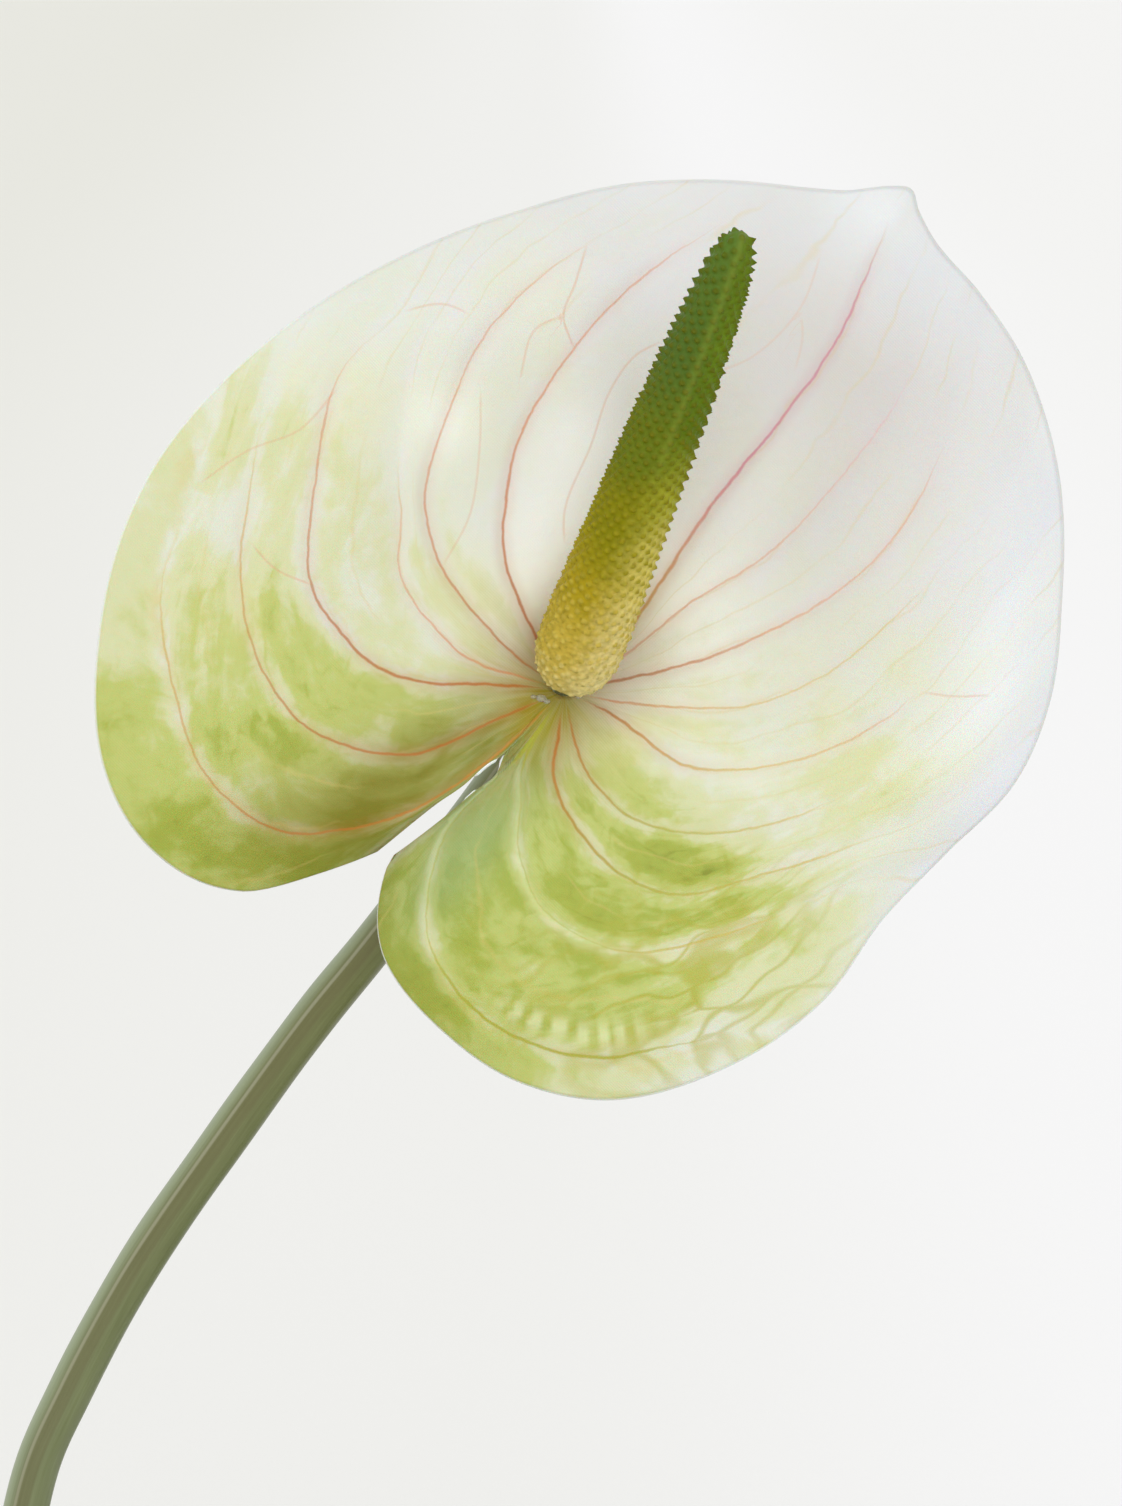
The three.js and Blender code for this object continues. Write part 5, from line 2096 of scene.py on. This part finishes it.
# ---------------------------------------------------------------- the mix and the pot
@dataclass
class Pot:
    """A plain tapered pot with a soft rim, a groove below it and three drain holes."""

    height: float = POT_HEIGHT
    foot: float = 47.0
    rim: float = POT_RIM
    wall: float = 5.0
    floor: float = 7.0
    hole_radius: float = 5.0
    hole_circle: float = 26.0
    holes: int = 3

    def profile(self) -> list[tuple[float, float]]:
        """The section from the middle of the underside, up and over the rim, to the middle of the floor.

        Returns:
            Its corners, (radius, height) each.
        """
        slope = (self.rim - self.foot) / self.height
        half = self.wall / 2
        out = [(0.0, 0.0), (self.foot - 2.5, 0.0)]
        out += [(self.foot - 2.5 + 2.5 * math.sin(a), 2.5 - 2.5 * math.cos(a)) for a in (0.5, 0.9, 1.3)]
        for height, cut in ((4, 0), (100, 0), (102.5, 0.15), (104, 0.8), (105.5, 0.15), (108, 0)):
            out.append((self.foot + slope * height - cut, height))
        centre = (self.rim - half, self.height - half)
        turns = np.linspace(0, math.pi, 13)
        out += [(centre[0] + half * math.cos(a), centre[1] + half * math.sin(a)) for a in turns]
        inner = self.foot - self.wall
        out += [(inner + slope * (self.floor + 3), self.floor + 3), (inner - 1.2, self.floor + 0.8)]
        return [*out, (inner - 4, self.floor), (0.0, self.floor)]

    def build(self, finish: bpy.types.Material) -> None:
        """Builds the pot, drills its floor and dresses it.

        Args:
            finish: its material.
        """
        body = bpy.data.meshes.new("pot_blank")
        bm = turned_body(section(self.profile(), 2.0), 144)
        bm.to_mesh(body)
        blank = bpy.data.objects.new("pot_blank", body)
        bm.clear()
        for k in range(self.holes):
            azimuth = 360 * k / self.holes + 90
            place = Matrix.Translation(outward(azimuth, self.hole_circle, self.floor / 2))
            bmesh.ops.create_cone(bm, cap_ends=True, segments=40, radius1=self.hole_radius,
                                  radius2=self.hole_radius, depth=self.floor * 3, matrix=place)
        drill_mesh = bpy.data.meshes.new("pot_drill")
        bm.to_mesh(drill_mesh)
        drill = bpy.data.objects.new("pot_drill", drill_mesh)
        for item in (blank, drill):
            bpy.context.scene.collection.objects.link(item)
        cut = blank.modifiers.new("drain", "BOOLEAN")
        cut.object, cut.operation, cut.solver = drill, "DIFFERENCE", "EXACT"
        bpy.context.view_layer.update()
        drilled = blank.evaluated_get(bpy.context.evaluated_depsgraph_get()).to_mesh()
        bm.clear()
        bm.from_mesh(drilled)
        for item in (blank, drill):
            bpy.data.objects.remove(item)
        for edge in bm.edges:
            edge.smooth = not (edge.is_manifold and edge.calc_face_angle() > 0.7)
        make_piece("pot_body", bm, [finish], ["pot"])


def stoneware() -> bpy.types.Material:
    """Matt pale stoneware with iron specks and faint turning lines.

    Returns:
        The material.
    """
    s = Shader("stoneware", 0.62, Specular_IOR_Level=0.4)
    height = s.split(s.place())[2]
    cloud = s.noise(s.place(), 28, 4)
    colour = s.ramp(cloud, (0.3, "#d4cec2"), (0.55, "#dad5c9"), (0.8, "#dfdacf"))
    fine = s.step(s.cells(s.place(), 420, False), 0.17, 0.1)
    few = s.times(fine, s.step(s.noise(s.place(), 300), 0.52, 0.6))
    colour = s.mix(s.times(few, 0.7), colour, tint("#7a6450"))
    colour = s.mix(s.times(s.step(height, 0.012, 0.0), 0.4), colour, tint("#a99c86"))
    colour = s.mix(s.times(s.step(height, 0.1165, 0.1182), 0.35), colour, tint("#efece4"))
    rings = s.math("SINE", s.math("MULTIPLY_ADD", height, 5200.0, s.times(cloud, 8.0)))
    s.raise_by(rings, 0.00005, 0.7)
    s.raise_by(s.noise(s.place(), 650, 3), 0.00018, 0.6)
    return s.colour(colour)


@dataclass
class PottingMix:
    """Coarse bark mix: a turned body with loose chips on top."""

    chips: int = 520
    brim: float = 56.5

    def build_body(self, finish: bpy.types.Material) -> None:
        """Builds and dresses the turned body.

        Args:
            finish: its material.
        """
        corners = ((0, 7.4), (36, 7.4), (42.5, 13), (58.2, 103), (54.5, 105.2), (26, 106.2), (0, 106.4))
        bm = turned_body(section(corners, 2.2), 120)
        places = coordinates(bm)
        lumps = uneven(places, 0.7, 1.0) + uneven(places, 1.9, 0.5)
        swell(bm, lumps * (places[:, 2] > 104) * (np.hypot(places[:, 0], places[:, 1]) < 55))
        make_piece("mix_body", bm, [finish], ["potting_mix"])

    def blank_chip(self) -> bpy.types.Mesh:
        """A rounded block of two dozen faces, which each chip bends to its own shape.

        Returns:
            The mesh.
        """
        bm = bmesh.new()
        bmesh.ops.create_cube(bm, size=1.0)
        bmesh.ops.subdivide_edges(bm, edges=bm.edges[:], cuts=1, use_grid_fill=True, smooth=0.6)
        mesh = bpy.data.meshes.new("chip_blank")
        bm.to_mesh(mesh)
        bm.free()
        return mesh

    def build_chips(self, finish: bpy.types.Material) -> None:
        """Scatters bark chips over the top.

        Args:
            finish: their material.
        """
        draw = np.random.default_rng(SEED + 5)
        blank = self.blank_chip()
        bm = bmesh.new()
        shades: list[float] = []
        for _ in range(self.chips):
            distance = math.sqrt(draw.uniform(19.5**2, self.brim**2))
            azimuth = draw.uniform(0, 360)
            size = draw.uniform((3.2, 2.2, 1.0), (7.5, 4.6, 2.6))
            if draw.random() < 0.12:
                size = draw.uniform((1.4, 1.4, 1.2), (2.6, 2.4, 2.2))
            edge = max(0.0, distance + 4 - self.brim)
            level = SOIL_TOP - 0.4 + draw.uniform(0, 2.0)
            where = Matrix.Translation(outward(azimuth, distance - edge, level))
            turn = Matrix.Rotation(draw.uniform(0, 2 * math.pi), 4, "Z")
            turn = turn @ Matrix.Rotation(draw.normal(0, 0.28), 4, "X")
            turn = turn @ Matrix.Rotation(draw.normal(0, 0.28), 4, "Y")
            pose = where @ turn @ Matrix.Diagonal((*size, 1))
            before = len(bm.verts)
            bm.from_mesh(blank)
            bm.verts.ensure_lookup_table()
            chip = bm.verts[before:]
            for vertex in chip:
                vertex.co = pose @ (vertex.co * (1 + draw.normal(0, 0.13)))
            shades += [draw.random()] * len(chip)
        bmesh.ops.recalc_face_normals(bm, faces=bm.faces[:])
        make_piece("bark_chips", bm, [finish], [], {"chip": np.array(shades)})


def bark(name: str, with_chips: bool) -> bpy.types.Material:
    """Damp bark, from nearly black to tan, with a few pale mineral grains among the chips.

    Args:
        name: the material's name.
        with_chips: whether each chip carries its own shade.

    Returns:
        The material.
    """
    s = Shader(name, 0.88)
    grain = s.noise(s.place(), 380, 5, 0.7)
    if with_chips:
        shade = s.values("chip").outputs["Fac"]
        mixed = s.math("MULTIPLY_ADD", grain, 0.35, s.times(shade, 0.75))
        colour = s.ramp(mixed, (0.1, "#2b1d14"), (0.4, "#4f3422"), (0.65, "#7a5536"), (0.85, "#9c7a55"))
        colour = s.mix(s.step(shade, 0.945, 0.95), colour, tint("#cfc8ba"))
    else:
        colour = s.ramp(grain, (0.3, "#1d1510"), (0.55, "#35251a"), (0.8, "#573d29"))
    s.raise_by(grain, 0.0006, 0.8)
    return s.colour(colour)


# ---------------------------------------------------------------- making
@dataclass
class Plant:
    """The whole potted plant, built from the pot up."""

    scales: tuple[float, ...] = (134, 183, 337)
    roots: tuple[tuple[float, float, float], ...] = ((37, 32, 5), (87, 36, 6), (232, 31, 5), (285, 35, 6))

    def build_pot(self) -> None:
        """Builds the pot and what fills it."""
        Pot().build(stoneware())
        mix = PottingMix()
        mix.build_body(bark("packed_bark", False))
        mix.build_chips(bark("loose_bark", True))

    def build_foliage(self) -> None:
        """Builds the crown with its scales and roots, and the leaves."""
        Crown().build(crown_bark())
        paper, rootskin = dry_paper(), root_skin()
        for k, azimuth in enumerate(self.scales, 1):
            PaperyScale(azimuth, k).build(paper)
        for k, (azimuth, reach, rise) in enumerate(self.roots, 1):
            Root(azimuth, reach, rise, k).build(rootskin)
        sides, stalk = [LeafFace().material(), LeafBack().material()], StalkSkin().material()
        for k, size in enumerate(LEAVES, 1):
            leaf = Leaf(size, k)
            leaf.build_blade(sides)
            leaf.build_stalk(stalk)
        NewLeaf().build(young_skin())

    def build_bloom(self) -> None:
        """Builds the flower: stem, sheet, spike and glue."""
        Peduncle().build(StemSkin().material())
        spathe = Spathe()
        spathe.build([SpatheFace().material(), SpatheBack().material()])
        Spadix().build(SpadixSkin().material())
        GlueDrops().build(spathe, clear_glue())


def main() -> None:
    """Builds the studio and every piece in order."""
    logging.basicConfig(level=logging.INFO, format="%(name)s %(message)s")
    LOG.info("the frame holds %d nodes", len(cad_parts))
    Studio().build()
    plant = Plant()
    plant.build_bloom()
    plant.build_pot()
    plant.build_foliage()


if __name__ == "__main__":
    main()
